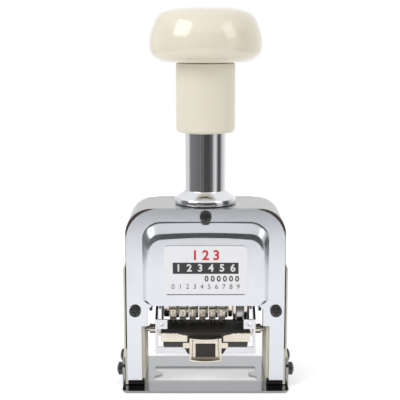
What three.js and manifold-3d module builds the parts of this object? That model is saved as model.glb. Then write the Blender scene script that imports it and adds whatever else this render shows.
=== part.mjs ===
// Hand-operated numbering machine: a palm knob drives a carriage of number
// wheels down through a frame, and an ink tray swings out of their way.
// Millimetres, +Z up, front towards -Y. The origin is on the table, under the
// wheel axle and midway between the side blocks.
import * as THREE from 'three';
import { mergeVertices } from 'three/addons/utils/BufferGeometryUtils.js';
import Module from 'manifold-3d';

const wasm = await Module();
wasm.setup();

// Shared clearances
const seat = 0.3; // left between pieces that rest on each other
const running = 0.3; // left beside pieces that move past each other
const fit = 0.15; // round a pin or a shank in its hole
const overrun = 2; // how far a cutting shape passes the face that it cuts

// Frame
const strapWidth = 65.8;
const frameInnerDepth = 30;
const strapShoulderRadius = 10.5;
const strapSheet = 1.2;
const strapLegBottom = 17;
const plateSheet = 1;
const plateWidth = 65.2;
const plateShoulderRadius = 13;
const plateLegBottom = 3.6;
const plateLegInner = 26.5;
const plateEarInner = 23.9;
const plateEarBottom = 27;
const plateOpeningTop = 36.4;
const openingChamfer = 2.4;

// Raised panel on the front plate
const panelRise = 2.5;
const panelFootDrop = 1.9; // from the top screws down to the panel's foot
const panelFootHalfWidth = 26.2;
const panelSlopeHeight = 7.2;
const panelFaceHalfWidth = 23;
const panelFootRadius = 8;
const panelFaceRadius = 5.5;
const panelArch = 0.9;
const panelCornerCut = 2;

// Slope of the raised panel: shares of its width and of its rise
const panelSlopeShares = [[0, 0], [0.06, 0.01], [0.14, 0.075], [0.82, 0.89], [0.92, 0.98], [1, 1]];

// Label plate
const labelWidth = 34;
const labelFootMargin = 4.8; // above the opening
const labelTopMargin = 2.3; // below the panel's face
const labelSheet = 0.4;
const labelRadius = 1.8;

// Base plate
const baseSheet = 1;
const baseFront = -21.8;
const baseBack = 22.2;
const baseWidth = 69.6;
const baseCornerRadius = 3.2;
const earTop = 12.8;
const earFront = -14.6;
const earBack = 13.4;
const earRadius = 5;
const windowHalfWidth = 22;
const windowFront = -9.2;
const windowBack = 8.2;
const pointerReach = 18.7;
const pointerHalfHeight = 3.6;
const pointerTipHalfHeight = 1.3;

// Side blocks
const blockInner = 25.5;
const blockCoreOuter = 31.4;
const blockSkinInner = 33.2;
const blockSkinOuter = 34;
const blockTopDrop = 16.2; // from the frame's top down to the block's
const blockSkinDrop = 8.2; // from the block's top down to its outer skin's
const blockBevel = 0.6;
const blockEndGap = 0.3;
const grooveFront = 3;
const grooveBack = 8.6;
const grooveDepth = 3;
const grooveBottom = 9.4;
const slotDepth = 3;

// Screws
const plateScrewHeadRadius = 2.4;
const plateScrewHeadHeight = 1.7;
const plateScrewShankRadius = 1;
const plateScrewLength = 6;
const sideScrewX = 29.1;
const sideScrewHeight = 33.6;
const topScrewHeight = 73.1;
const topScrewMargin = 3.1; // from the top screws up to the frame's top
const earScrewHeadRadius = 2.75;
const earScrewHeadHeight = 2.5;
const earScrewShankRadius = 1.5;
const earScrewLength = 5;
const earScrewHeight = 6.4;
const earScrewFront = -9.2;
const earScrewBack = 8.2;
const recessRadius = 1.2;
const recessDepth = 0.9;
const recessSlot = 0.6;
const crownShare = 0.35; // of the head's height, where its crown begins

// Guide sleeve and top bridge
const sleeveRadius = 8.45;
const sleeveWall = 1.3;
const sleeveHeight = 33.8; // above the frame
const flangeRadius = 12.9;
const flangeRim = 0.9;
const coneRadius = 11.6; // at its foot, where the rounded rim begins
const coneHeight = 5.7; // above the frame, as the next one is
const coneFootHeight = 3.2;
const spigotRadius = 6.6;
const spigotReach = 1.4; // below the bridge
const sleeveFloorRise = 3.8; // above the frame
const bridgeHalfWidth = 13;
const bridgeDrop = 3.7; // from the top screws down to the bridge's underside

// Knob, skirt and rod
const knobClearance = 0.8; // left above the sleeve when the knob is down
const knobHeight = 22.1;
const knobRadius = 23.2;
const skirtRadius = 12.2;
const skirtOverlap = 3.8; // of the sleeve, with the knob up
const skirtRim = 1.6;
const rodRadius = 3.2;
const rodBelowCarriage = 5;
const rodSocketDepth = 12.1;
const rodCollarRadius = 6.6;
const rodCollarHeight = 2.4;
const rodShoulder = 2;
const nutRadius = 4.6;
const nutHeight = 2.9;
const stroke = 24.1;

// Outline of the palm knob: shares of its radius and of its height
const knobShares = [
  [0.4, 0.997], [0.62, 0.968], [0.76, 0.918], [0.86, 0.823], [0.925, 0.69],
  [0.975, 0.54], [1, 0.38], [0.99, 0.24], [0.93, 0.12], [0.82, 0.035],
];

// Return spring
const springRadius = 5.1;
const springWire = 1.2;
const springTurns = 11;
const springSteps = 8;
const springSides = 5;

// Carriage
const axleHeight = 33.1;
const axleRadius = 2;
const axleHeadRadius = 3.1;
const axleHeadHeight = 0.5;
const cheekInner = 17.9;
const cheekSheet = 0.9;
const cheekWidth = 7.6;
const cheekCentre = 0.9;
const carriageTop = 51.2;
const carriageSheet = 1.2;
const guideInner = 22.7;
const guideSheet = 1.2;
const guideFront = -3.8;
const guideBack = 8.6;
const guideBottom = 29.2;
const guideEndRadius = 3.4;
const shoeTop = 50;
const shoeBottom = 36;

// Number wheels
const wheelCount = 6;
const wheelPitch = 4.14;
const firstWheelX = -13.7;
const wheelRadius = 9;
const typeCount = 10;
const typeWidth = 2.8;
const typeBlockHalfHeight = 1.9;
const typeRootRadius = 7.7;
const ratchetWidth = 1.04;
const ratchetTipRadius = 7.2;
const ratchetRootRadius = 6;
const toothDropShare = 0.12; // of a tooth's pitch
const collarRadius = 6.5;
const repeatCollarWidth = 1.66;
const repeatRatchetWidth = 2.8;
const repeatTeeth = 20;
const repeatTipRadius = 8.2;
const repeatRootRadius = 7.3;
const discRadius = 8.3;
const discWidth = 1.2;

// Detent comb
const fingerThickness = 0.6;
const fingerOuterRadius = 8.9;
const fingerEndDegrees = 95;
const combHalfDepth = 2.3;
const combBottom = 10.6;
const combTop = 12.2;
const fingerStem = 1.2;

// Ink yoke, measured from the wheel axle
const inkSwingDegrees = 90;
const inkArmInner = 20.1;
const inkArmSheet = 1;
const inkHubRadius = 3.4;
const inkStudRadius = 1.3;
const inkStudReach = 12;
const rollerRadius = 2.1;
const rollerInner = 21.4;
const rollerOuter = 23.9;
const studOuter = 28;
const crossBarFront = -9.8;
const crossBarBack = -8.2;
const crossBarTop = -17.3;
const crossBarBottom = -20;
const flangeFront = -10.7;
const flangeSheet = 0.9;
const flangeInner = 16;
const flangeTop = -4.8;
const flangeBottom = -9;
const flangeHoleRadius = 0.8;
const flangeHoleInset = 2.4; // from the flange's inner end to the hole's centre

// Ink tray, measured from the wheel axle
const trayHalfWidth = 18.8;
const trayFront = -11.9;
const trayBack = 6;
const trayTop = -9.9;
const trayBottom = -14.2;
const traySheet = 0.8;
const padTop = -9.4;
const lugFront = -5.95;
const lugBack = 2;
const lugHeight = 1.6;
const tabHalfWidth = 6.7;
const tabTop = -11.9;
const tabBottom = -21.9;
const tabFront = -16;
const tabLip = 1.6;
const tabSheet = 0.7;
const wingHalfWidth = 9.5;
const wingTop = -14.6;
const wingBottom = -17.1;
const petalInset = 1.4; // how far each petal's foot is narrower than its top
const petalDrop = 2.4;

// Pawl carrier, measured from the wheel axle
const pawlStartDegrees = 72;
const pawlSwingDegrees = 36;
const pawlArmInner = 19.1;
const pawlArmSheet = 0.7;
const pawlStudRadius = 1;
const pawlStudReach = 12;
const pawlBarDegrees = 93;
const pawlBarInnerRadius = 11.4;
const pawlBarOuterRadius = 13.2;
const pawlBarHalfDegrees = 14;
const pawlThickness = 0.7;
const pawlArmMarginDegrees = 8;
const pawlTipDegrees = 8;
const repeatPawlShare = 0.6; // of the way from the last wheel to the right cheek

// Colours, taken by eye
const cream = 0xe9e3c9;
const chrome = 0xc9cdd2;
const nickel = 0xcfc7b8;
const black = 0x1b1b1d;
const labelWhite = 0xf2f2f2;
const steel = 0x9a9da2;
const brass = 0xb99a5b;

// Finishes
const platedRoughness = 0.25;
const mouldedRoughness = 0.5;
const knobRoughness = 0.2;
const dullRoughness = 0.6;

// Counts of sides and steps, and the distance at which points count as one
const roundSides = 28;
const holeSides = 20;
const smallSides = 12;
const endSides = 6;
const hexagonSides = 6;
const knobSteps = 18;
const archSteps = 4;
const rimSteps = 4;
const capSteps = 6;
const pathSteps = 12;
const mergeTolerance = 1e-4;

/** Degrees to radians. */
function rad(degrees) {
  return THREE.MathUtils.degToRad(degrees);
}

/** Geometry with shared vertices, no collapsed triangles and faces pointing out. */
function closed(source) {
  const bare = source.clone();
  for (const name of Object.keys(bare.attributes)) {
    if (name !== 'position') bare.deleteAttribute(name);
  }
  const merged = mergeVertices(bare, mergeTolerance);
  const place = merged.getAttribute('position');
  const index = merged.getIndex().array;
  const corners = [0, 1, 2].map(() => new THREE.Vector3());
  const kept = [];
  let volume = 0;
  for (let i = 0; i < index.length; i += 3) {
    const [a, b, c] = [index[i], index[i + 1], index[i + 2]];
    if (a === b || b === c || c === a) continue;
    kept.push(a, b, c);
    corners[0].fromBufferAttribute(place, a);
    corners[1].fromBufferAttribute(place, b);
    corners[2].fromBufferAttribute(place, c);
    volume += corners[0].dot(corners[1].clone().cross(corners[2]));
  }
  if (volume < 0) {
    for (let i = 0; i < kept.length; i += 3) [kept[i], kept[i + 1]] = [kept[i + 1], kept[i]];
  }
  merged.setIndex(kept);
  return merged;
}

/** A solid that can be joined and cut, from a closed geometry. */
function solid(source) {
  const merged = closed(source);
  const numProp = 3;
  const vertProperties = new Float32Array(merged.getAttribute('position').array);
  const triVerts = new Uint32Array(merged.getIndex().array);
  return new wasm.Manifold(new wasm.Mesh({ numProp, vertProperties, triVerts }));
}

/** The geometry of a finished solid. */
function geometryOf(body) {
  const mesh = body.getMesh();
  const geometry = new THREE.BufferGeometry();
  geometry.setAttribute('position', new THREE.BufferAttribute(mesh.vertProperties, mesh.numProp));
  geometry.setIndex(new THREE.BufferAttribute(mesh.triVerts, 1));
  geometry.computeVertexNormals();
  return geometry;
}

/** Joins solids into one. */
function join(...bodies) {
  return bodies.reduce((whole, body) => whole.add(body));
}

/** Cuts every later solid out of the first. */
function cut(body, ...tools) {
  return tools.reduce((rest, tool) => rest.subtract(tool), body);
}

/** A block between two corners. */
function block(x0, x1, y0, y1, z0, z1) {
  const geometry = new THREE.BoxGeometry(x1 - x0, y1 - y0, z1 - z0);
  geometry.translate((x0 + x1) / 2, (y0 + y1) / 2, (z0 + z1) / 2);
  return solid(geometry);
}

/** An outline pushed along one axis; the outline's points run in the other two. */
function prism(outline, axis, from, to, curveSegments = endSides) {
  const shape = outline instanceof THREE.Shape ? outline : shapeOf(outline);
  const geometry = new THREE.ExtrudeGeometry(shape, { depth: to - from, bevelEnabled: false, curveSegments });
  const turn = new THREE.Matrix4();
  const [x, y, z] = [new THREE.Vector3(1, 0, 0), new THREE.Vector3(0, 1, 0), new THREE.Vector3(0, 0, 1)];
  if (axis === 'x') {
    geometry.applyMatrix4(turn.makeBasis(y, z, x));
    geometry.translate(from, 0, 0);
  } else if (axis === 'y') {
    geometry.applyMatrix4(turn.makeBasis(x, z, y.clone().negate()));
    geometry.translate(0, to, 0);
  } else {
    geometry.translate(0, 0, from);
  }
  return solid(geometry);
}

/** A shape from a list of points. */
function shapeOf(points) {
  return new THREE.Shape(points.map(([u, v]) => new THREE.Vector2(u, v)));
}

/** A rectangle with its four corners rounded. */
function roundedRectangle(u0, u1, v0, v1, radius) {
  const shape = new THREE.Shape();
  shape.moveTo(u0 + radius, v0);
  shape.lineTo(u1 - radius, v0);
  shape.absarc(u1 - radius, v0 + radius, radius, -Math.PI / 2, 0, false);
  shape.lineTo(u1, v1 - radius);
  shape.absarc(u1 - radius, v1 - radius, radius, 0, Math.PI / 2, false);
  shape.lineTo(u0 + radius, v1);
  shape.absarc(u0 + radius, v1 - radius, radius, Math.PI / 2, Math.PI, false);
  shape.lineTo(u0, v0 + radius);
  shape.absarc(u0 + radius, v0 + radius, radius, Math.PI, Math.PI * 3 / 2, false);
  return shape;
}

/** A round bar along an axis, centred on (u, v) in the other two. */
function round(axis, u, v, from, to, radius, sides = holeSides) {
  const circle = new THREE.Shape();
  circle.absarc(u, v, radius, 0, Math.PI * 2, false);
  return prism(circle, axis, from, to, sides / 2);
}

/** A turned form about the Z axis, from points given as [radius, height]. */
function turned(profile, sides = roundSides) {
  const points = profile.map(([r, z]) => new THREE.Vector2(r, z));
  const geometry = new THREE.LatheGeometry(points, sides);
  geometry.rotateX(Math.PI / 2);
  return solid(geometry);
}

/** A rounded edge between two directions, as [radius, height] points. */
function arcPoints(centreR, centreZ, radius, startDegrees, endDegrees, steps) {
  return Array.from({ length: steps + 1 }, (_, i) => {
    const angle = rad(startDegrees + (endDegrees - startDegrees) * i / steps);
    return [centreR + radius * Math.cos(angle), centreZ + radius * Math.sin(angle)];
  });
}

/** The same solid mirrored to the left side. */
function toLeft(body) {
  return body.mirror([1, 0, 0]);
}

/** A piece of the assembly: a named mesh of one solid. */
function piece(name, body, color, roughness, metalness) {
  const material = new THREE.MeshStandardMaterial({ color, roughness, metalness });
  const mesh = new THREE.Mesh(geometryOf(body), material);
  mesh.name = name;
  return mesh;
}

/** A bright plated piece. */
function plated(name, body, color = chrome) {
  return piece(name, body, color, platedRoughness, 1);
}

/** A cream plastic piece. */
function moulded(name, body, roughness = mouldedRoughness) {
  return piece(name, body, cream, roughness, 0);
}

/** An arch: square at the bottom, with rounded shoulders. */
function arch(halfWidth, top, radius, bottom) {
  const shape = new THREE.Shape();
  shape.moveTo(-halfWidth, bottom);
  shape.lineTo(halfWidth, bottom);
  shape.lineTo(halfWidth, top - radius);
  shape.absarc(halfWidth - radius, top - radius, radius, 0, Math.PI / 2, false);
  shape.absarc(-halfWidth + radius, top - radius, radius, Math.PI / 2, Math.PI, false);
  return shape;
}

/** A point on a circle about the wheel axle; 0 degrees is straight down, 90 is the rear. */
function polar(radius, degrees) {
  return [radius * Math.sin(rad(degrees)), axleHeight - radius * Math.cos(rad(degrees))];
}

/** A ring sector about the axle as an outline of [y, z] points. */
function sector(inner, outer, fromDegrees, toDegrees, steps = endSides) {
  const turn = toDegrees - fromDegrees;
  const angles = Array.from({ length: steps + 1 }, (_, i) => fromDegrees + turn * i / steps);
  const outside = angles.map((angle) => polar(outer, angle));
  const inside = angles.map((angle) => polar(inner, angle)).reverse();
  return outside.concat(inside);
}

/** Solid between matching outlines, each a ring of Vector3 points. */
function loft(rings) {
  const count = rings[0].length;
  const middles = [rings[0], rings.at(-1)].map((ring) => {
    const sum = ring.reduce((total, point) => total.add(point), new THREE.Vector3());
    return sum.divideScalar(count);
  });
  const points = rings.flat().concat(middles);
  const faces = [];
  for (let r = 0; r + 1 < rings.length; r += 1) {
    for (let i = 0; i < count; i += 1) {
      const next = (i + 1) % count;
      const [a, b] = [r * count + i, r * count + next];
      const [c, d] = [a + count, b + count];
      faces.push(a, b, d, a, d, c);
    }
  }
  const last = (rings.length - 1) * count;
  const hub = rings.length * count;
  for (let i = 0; i < count; i += 1) {
    const next = (i + 1) % count;
    faces.push(next, i, hub, last + i, last + next, hub + 1);
  }
  const geometry = new THREE.BufferGeometry().setFromPoints(points);
  geometry.setIndex(faces);
  return solid(geometry);
}

// Sizes that follow from the driving ones
const frameTop = topScrewHeight + topScrewMargin;
const panelFootTop = topScrewHeight - panelFootDrop;
const panelFaceTop = panelFootTop - panelSlopeHeight;
const labelTop = panelFaceTop - labelTopMargin;
const labelBottom = plateOpeningTop + labelFootMargin;
const blockTop = frameTop - blockTopDrop;
const blockSkinTop = blockTop - blockSkinDrop;
const bridgeBottom = topScrewHeight - bridgeDrop;
const spigotBottom = bridgeBottom - spigotReach;
const sleeveFloorTop = frameTop + sleeveFloorRise;
const sleeveTop = frameTop + sleeveHeight;
const knobBottom = sleeveTop + stroke + knobClearance;
const knobTop = knobBottom + knobHeight;
const skirtBottom = sleeveTop - skirtOverlap;
const rodBottom = carriageTop - rodBelowCarriage;
const rodTop = knobBottom + rodSocketDepth;
const plateInner = frameInnerDepth / 2;
const plateOuter = plateInner + plateSheet;
const panelFace = -plateOuter - panelRise;
const insideDepth = plateInner - seat;
const earInner = baseWidth / 2 - baseSheet;
const guideOuter = guideInner + guideSheet;
const inkArmOuter = inkArmInner + inkArmSheet;
const pawlArmOuter = pawlArmInner + pawlArmSheet;
const wheelX = Array.from({ length: wheelCount }, (_, i) => firstWheelX + wheelPitch * i);
const gapCentre = wheelPitch / 2;
const wheelStackEnd = wheelX.at(-1) + typeWidth / 2 + ratchetWidth + running;

/** The bent strap over the top, whose legs stand in the side blocks. */
function frameStrap() {
  const half = strapWidth / 2;
  const outside = arch(half, frameTop, strapShoulderRadius, strapLegBottom);
  const underside = frameTop - strapSheet;
  const inside = arch(
    half - strapSheet, underside, strapShoulderRadius - strapSheet, strapLegBottom - overrun,
  );
  return cut(
    prism(outside, 'y', -insideDepth, insideDepth),
    prism(inside, 'y', -insideDepth - overrun, insideDepth + overrun),
    round('z', 0, 0, underside - overrun, frameTop + overrun, spigotRadius + fit),
  );
}

/** The flat part that both plates share, with its opening and screw holes. */
function platePanel(inner, outer) {
  const low = Math.min(inner, outer);
  const high = Math.max(inner, outer);
  const side = [
    [plateLegInner, plateLegBottom - overrun], [plateLegInner, plateEarBottom],
    [plateEarInner, plateEarBottom], [plateEarInner, plateOpeningTop - openingChamfer],
    [plateEarInner - openingChamfer, plateOpeningTop],
  ];
  const opening = side.concat(side.map(([x, z]) => [-x, z]).reverse());
  const holes = screwPlaces().map(([x, z]) => (
    round('y', x, z, low - overrun, high + overrun, plateScrewShankRadius + fit, smallSides)
  ));
  return cut(
    prism(arch(plateWidth / 2, frameTop, plateShoulderRadius, plateLegBottom), 'y', low, high),
    prism(opening, 'y', low - overrun, high + overrun),
    ...holes,
  );
}

/** Where the plate screws go, as [x, z]. */
function screwPlaces() {
  return [[0, topScrewHeight], [-sideScrewX, sideScrewHeight], [sideScrewX, sideScrewHeight]];
}

/** One outline of the raised panel, shrunk from foot to face as share goes from 0 to 1. */
function panelOutline(share, inset, y) {
  const mix = THREE.MathUtils.lerp;
  const half = mix(panelFootHalfWidth, panelFaceHalfWidth, share) - inset;
  const top = mix(panelFootTop, panelFaceTop, share) - inset;
  const radius = mix(panelFootRadius, panelFaceRadius, share) - inset / 2;
  const bottom = plateOpeningTop - (inset > 0 ? overrun : 0);
  const rise = panelArch * share;
  const right = [[half - panelCornerCut, bottom], [half, bottom + panelCornerCut]];
  for (let i = 0; i <= endSides; i += 1) {
    const angle = Math.PI / 2 * i / endSides;
    right.push([half - radius + radius * Math.cos(angle), top - radius + radius * Math.sin(angle)]);
  }
  for (let i = 1; i < archSteps; i += 1) {
    const x = (half - radius) * (1 - i / archSteps);
    right.push([x, top + rise * (1 - (x / (half - radius)) ** 2)]);
  }
  const crown = [[0, top + rise]];
  const left = right.map(([x, z]) => [-x, z]).reverse();
  return right.concat(crown, left).map(([x, z]) => new THREE.Vector3(x, y, z));
}

/** The front plate: a sheet stamped with a raised panel that is open at its foot. */
function frontPlate() {
  const foot = -plateInner - plateSheet / 2;
  const outer = panelSlopeShares.map(([share, rise]) => (
    panelOutline(share, 0, THREE.MathUtils.lerp(foot, panelFace, rise))
  ));
  const hollow = panelSlopeShares.map(([share, rise]) => (
    panelOutline(share, plateSheet, THREE.MathUtils.lerp(foot, panelFace, rise) + plateSheet)
  ));
  const mouth = panelOutline(0, plateSheet, -plateInner + overrun);
  return cut(
    join(platePanel(-plateInner, -plateOuter), loft(outer)),
    loft([mouth, ...hollow]),
  );
}

/** The plain plate at the back. */
function backPlate() {
  return platePanel(plateInner, plateOuter);
}

/** A pan-head screw with a cross recess; its head sits at the origin and it points to +Z. */
function screw(headRadius, headHeight, shankRadius, length) {
  const crown = arcPoints(0, 0, 1, 0, 90, endSides / 2)
    .map(([r, z]) => [r * headRadius, -headHeight * (crownShare + (1 - crownShare) * z)]);
  const shank = [[0, length], [shankRadius, length], [shankRadius, 0]];
  const body = turned([...shank, [headRadius, 0], ...crown], smallSides);
  const slotTop = -headHeight + recessDepth;
  const slot = (x, y) => block(-x, x, -y, y, -headHeight - overrun, slotTop);
  return cut(body, slot(recessRadius, recessSlot / 2), slot(recessSlot / 2, recessRadius));
}

/** A plate screw placed at the front (side -1) or at the back (side 1). */
function plateScrew(x, z, side) {
  const body = screw(plateScrewHeadRadius, plateScrewHeadHeight, plateScrewShankRadius, plateScrewLength);
  return body.rotate([90 * side, 0, 0]).translate([x, side * (plateOuter + seat), z]);
}

/** An ear screw on the left (side -1) or on the right (side 1). */
function earScrew(side, y) {
  const body = screw(earScrewHeadRadius, earScrewHeadHeight, earScrewShankRadius, earScrewLength);
  return body.rotate([0, -90 * side, 0]).translate([side * (baseWidth / 2 + seat), y, earScrewHeight]);
}

/** The label's bare plate on the raised panel. */
function labelPlate() {
  const outline = roundedRectangle(-labelWidth / 2, labelWidth / 2, labelBottom, labelTop, labelRadius);
  return prism(outline, 'y', panelFace - seat - labelSheet, panelFace - seat);
}

/** The stamping window with a pointer tab at each end. */
function windowOutline() {
  const middle = (windowFront + windowBack) / 2;
  const right = [
    [windowHalfWidth, windowFront], [windowHalfWidth, middle - pointerHalfHeight],
    [pointerReach, middle - pointerTipHalfHeight], [pointerReach, middle + pointerTipHalfHeight],
    [windowHalfWidth, middle + pointerHalfHeight], [windowHalfWidth, windowBack],
  ];
  return right.concat(right.map(([x, y]) => [-x, y]).reverse());
}

/** The base: a sheet folded up into an ear at each side. */
function basePlate() {
  const half = baseWidth / 2;
  const fold = baseSheet * 2;
  const outside = roundedRectangle(-half, half, 0, earTop + fold, fold);
  const inside = roundedRectangle(-earInner, earInner, baseSheet, earTop + fold * 2, baseSheet);
  const sheet = cut(
    prism(outside, 'y', baseFront, baseBack),
    prism(inside, 'y', baseFront - overrun, baseBack + overrun),
  );
  const side = new THREE.Shape();
  side.moveTo(baseFront, -overrun);
  side.lineTo(baseBack, -overrun);
  side.lineTo(baseBack, baseSheet);
  side.lineTo(earBack, baseSheet);
  side.absarc(earBack - earRadius, earTop - earRadius, earRadius, 0, Math.PI / 2, false);
  side.absarc(earFront + earRadius, earTop - earRadius, earRadius, Math.PI / 2, Math.PI, false);
  side.lineTo(earFront, baseSheet);
  side.lineTo(baseFront, baseSheet);
  const plan = roundedRectangle(-half, half, baseFront, baseBack, baseCornerRadius);
  const blank = sheet
    .intersect(prism(side, 'x', -half - overrun, half + overrun))
    .intersect(prism(plan, 'z', -overrun, earTop + overrun));
  const holes = [earScrewFront, earScrewBack].map((y) => (
    round('x', y, earScrewHeight, -half - overrun, half + overrun, earScrewShankRadius + fit, smallSides)
  ));
  return cut(blank, prism(windowOutline(), 'z', -overrun, baseSheet + overrun), ...holes);
}

/** A slot that follows a path, with round ends, as an outline of [y, z] points. */
function slotOutline(path, halfWidth) {
  const points = path.map(([y, z]) => new THREE.Vector2(y, z));
  const heading = (i) => {
    const after = points[Math.min(i + 1, points.length - 1)];
    const before = points[Math.max(i - 1, 0)];
    return after.clone().sub(before).angle();
  };
  const around = (i, angle) => [
    points[i].x + halfWidth * Math.cos(heading(i) + angle),
    points[i].y + halfWidth * Math.sin(heading(i) + angle),
  ];
  const cap = (i, start) => Array.from({ length: capSteps - 1 }, (_, k) => (
    around(i, start + Math.PI * (k + 1) / capSteps)
  ));
  const end = points.length - 1;
  const right = points.map((_, i) => around(i, -Math.PI / 2));
  const left = points.map((_, i) => around(i, Math.PI / 2)).reverse();
  return [...right, ...cap(end, -Math.PI / 2), ...left, ...cap(0, Math.PI / 2)];
}

/** The path of a stud that swings about the axle while the carriage goes down. */
function studPath(reach, startDegrees, swingDegrees) {
  return Array.from({ length: pathSteps + 1 }, (_, i) => {
    const share = i / pathSteps;
    const [y, z] = polar(reach, startDegrees + swingDegrees * share);
    return [y, z - stroke * share];
  });
}

/** The right side block, with a cam slot for each stud and a groove for the shoe. */
function sideBlock() {
  const skirtOuter = earInner - seat;
  const foot = baseSheet + blockEndGap;
  const skinFoot = earTop + seat;
  const outline = [
    [blockInner, foot], [skirtOuter, foot], [skirtOuter, skinFoot], [blockSkinOuter, skinFoot],
    [blockSkinOuter, blockSkinTop - blockBevel], [blockSkinOuter - blockBevel, blockSkinTop],
    [blockSkinInner, blockSkinTop], [blockSkinInner, strapLegBottom - seat],
    [blockCoreOuter, strapLegBottom - seat], [blockCoreOuter, blockTop], [blockInner, blockTop],
  ];
  const slot = (path, radius) => prism(
    slotOutline(path, radius + running), 'x', blockInner - overrun, blockInner + slotDepth,
  );
  const screwEnd = plateOuter + seat - plateScrewLength - seat;
  const screwHole = (from, to) => round(
    'y', sideScrewX, sideScrewHeight, from, to, plateScrewShankRadius + fit, smallSides,
  );
  const earScrewEnd = baseWidth / 2 - earScrewLength;
  const earHole = (y) => round(
    'x', y, earScrewHeight, earScrewEnd, baseWidth / 2, earScrewShankRadius + fit, smallSides,
  );
  const groove = block(
    blockInner - overrun, blockInner + grooveDepth, grooveFront, grooveBack,
    grooveBottom, blockTop + overrun,
  );
  return cut(
    prism(outline, 'y', -insideDepth, insideDepth),
    slot(studPath(inkStudReach, 0, -inkSwingDegrees), inkStudRadius),
    slot(studPath(pawlStudReach, pawlStartDegrees, pawlSwingDegrees), pawlStudRadius),
    groove,
    screwHole(-plateInner - overrun, -screwEnd),
    screwHole(screwEnd, plateInner + overrun),
    earHole(earScrewFront),
    earHole(earScrewBack),
  );
}

/** The bridge under the strap that holds the sleeve and the two top screws. */
function topBridge() {
  const top = frameTop - strapSheet - seat;
  const screwEnd = plateOuter + seat - plateScrewLength - seat;
  const hole = (from, to) => round('y', 0, topScrewHeight, from, to, plateScrewShankRadius + fit, smallSides);
  return cut(
    block(-bridgeHalfWidth, bridgeHalfWidth, -insideDepth, insideDepth, bridgeBottom, top),
    round('z', 0, 0, bridgeBottom - overrun, top + overrun, spigotRadius + fit),
    hole(-plateInner - overrun, -screwEnd),
    hole(screwEnd, plateInner + overrun),
  );
}

/** The chrome guide sleeve with its conical flange and the spigot below it. */
function guideSleeve() {
  const bore = rodRadius + running;
  const inner = sleeveRadius - sleeveWall;
  const flangeFoot = frameTop + seat;
  const rimTop = flangeFoot + flangeRim;
  const shoulder = new THREE.EllipseCurve(
    coneRadius, rimTop, flangeRadius - coneRadius, frameTop + coneFootHeight - rimTop, 0, Math.PI / 2,
  );
  return turned([
    [bore, spigotBottom], [spigotRadius, spigotBottom], [spigotRadius, flangeFoot],
    [flangeRadius, flangeFoot], ...shoulder.getPoints(rimSteps).map((point) => [point.x, point.y]),
    [sleeveRadius, frameTop + coneHeight], [sleeveRadius, sleeveTop], [inner, sleeveTop],
    [inner, sleeveFloorTop], [bore, sleeveFloorTop], [bore, spigotBottom],
  ]);
}

/** The palm knob, turned from a soft outline, with a socket for the rod. */
function palmKnob() {
  const height = knobTop - knobBottom;
  const curve = new THREE.SplineCurve(knobShares.map(([r, z]) => (
    new THREE.Vector2(knobRadius * r, knobBottom + height * z)
  )));
  const side = curve.getPoints(knobSteps).map((point) => [point.x, point.y]);
  const profile = [[0, knobTop], ...side, [skirtRadius, knobBottom], [0, knobBottom]];
  const socket = round('z', 0, 0, knobBottom - overrun, rodTop + seat, rodRadius + fit);
  return cut(turned(profile), socket);
}

/** The skirt under the knob, a tube that slides over the sleeve. */
function knobSkirt() {
  const inner = sleeveRadius + running;
  const top = knobBottom - seat;
  const rim = arcPoints(skirtRadius - skirtRim, skirtBottom + skirtRim, skirtRim, -90, 0, endSides / 2);
  return turned([[inner, skirtBottom], ...rim, [skirtRadius, top], [inner, top], [inner, skirtBottom]]);
}

/** The plunger rod with the spring's collar and a shoulder on the carriage. */
function plungerRod() {
  const collarTop = knobBottom - seat;
  const collarBottom = collarTop - rodCollarHeight;
  const shoulder = carriageTop + seat;
  return turned([
    [0, rodBottom], [rodRadius, rodBottom], [rodRadius, shoulder], [rodRadius + rodShoulder, shoulder],
    [rodRadius + rodShoulder, shoulder + rodShoulder], [rodRadius, shoulder + rodShoulder],
    [rodRadius, collarBottom], [rodCollarRadius, collarBottom], [rodCollarRadius, collarTop],
    [rodRadius, collarTop], [rodRadius, rodTop], [0, rodTop],
  ], holeSides);
}

/** The hexagon nut that holds the rod to the carriage. */
function rodNut() {
  const top = carriageTop - carriageSheet - seat;
  return cut(
    round('z', 0, 0, top - nutHeight, top, nutRadius, hexagonSides),
    round('z', 0, 0, top - nutHeight - overrun, top + overrun, rodRadius + fit),
  );
}

/** Where the return spring's wire runs, between the sleeve's floor and the rod's collar. */
class SpringPath extends THREE.Curve {
  getPoint(share, target = new THREE.Vector3()) {
    const low = sleeveFloorTop + seat + springWire / 2;
    const high = knobBottom - seat - rodCollarHeight - seat - springWire / 2;
    const angle = Math.PI * 2 * springTurns * share;
    const height = THREE.MathUtils.lerp(low, high, share);
    return target.set(springRadius * Math.cos(angle), springRadius * Math.sin(angle), height);
  }
}

/** The return spring: one wire wound round the rod. */
function returnSpring() {
  const wire = new THREE.Shape();
  wire.absarc(0, 0, springWire / 2, 0, Math.PI * 2, false);
  const geometry = new THREE.ExtrudeGeometry(wire, {
    extrudePath: new SpringPath(), steps: springTurns * springSteps, curveSegments: springSides / 2,
  });
  return solid(geometry);
}

/** The least gap between neighbouring turns of the return spring, measured on its path. */
function springGap() {
  const path = new SpringPath();
  const samples = Array.from({ length: springTurns * springSteps * 2 + 1 }, (_, i) => (
    path.getPoint(i / (springTurns * springSteps * 2))
  ));
  let least = Infinity;
  samples.forEach((point, i) => {
    for (let j = i + springSteps; j < samples.length; j += 1) {
      least = Math.min(least, point.distanceTo(samples[j]));
    }
  });
  return least - springWire;
}

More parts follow.
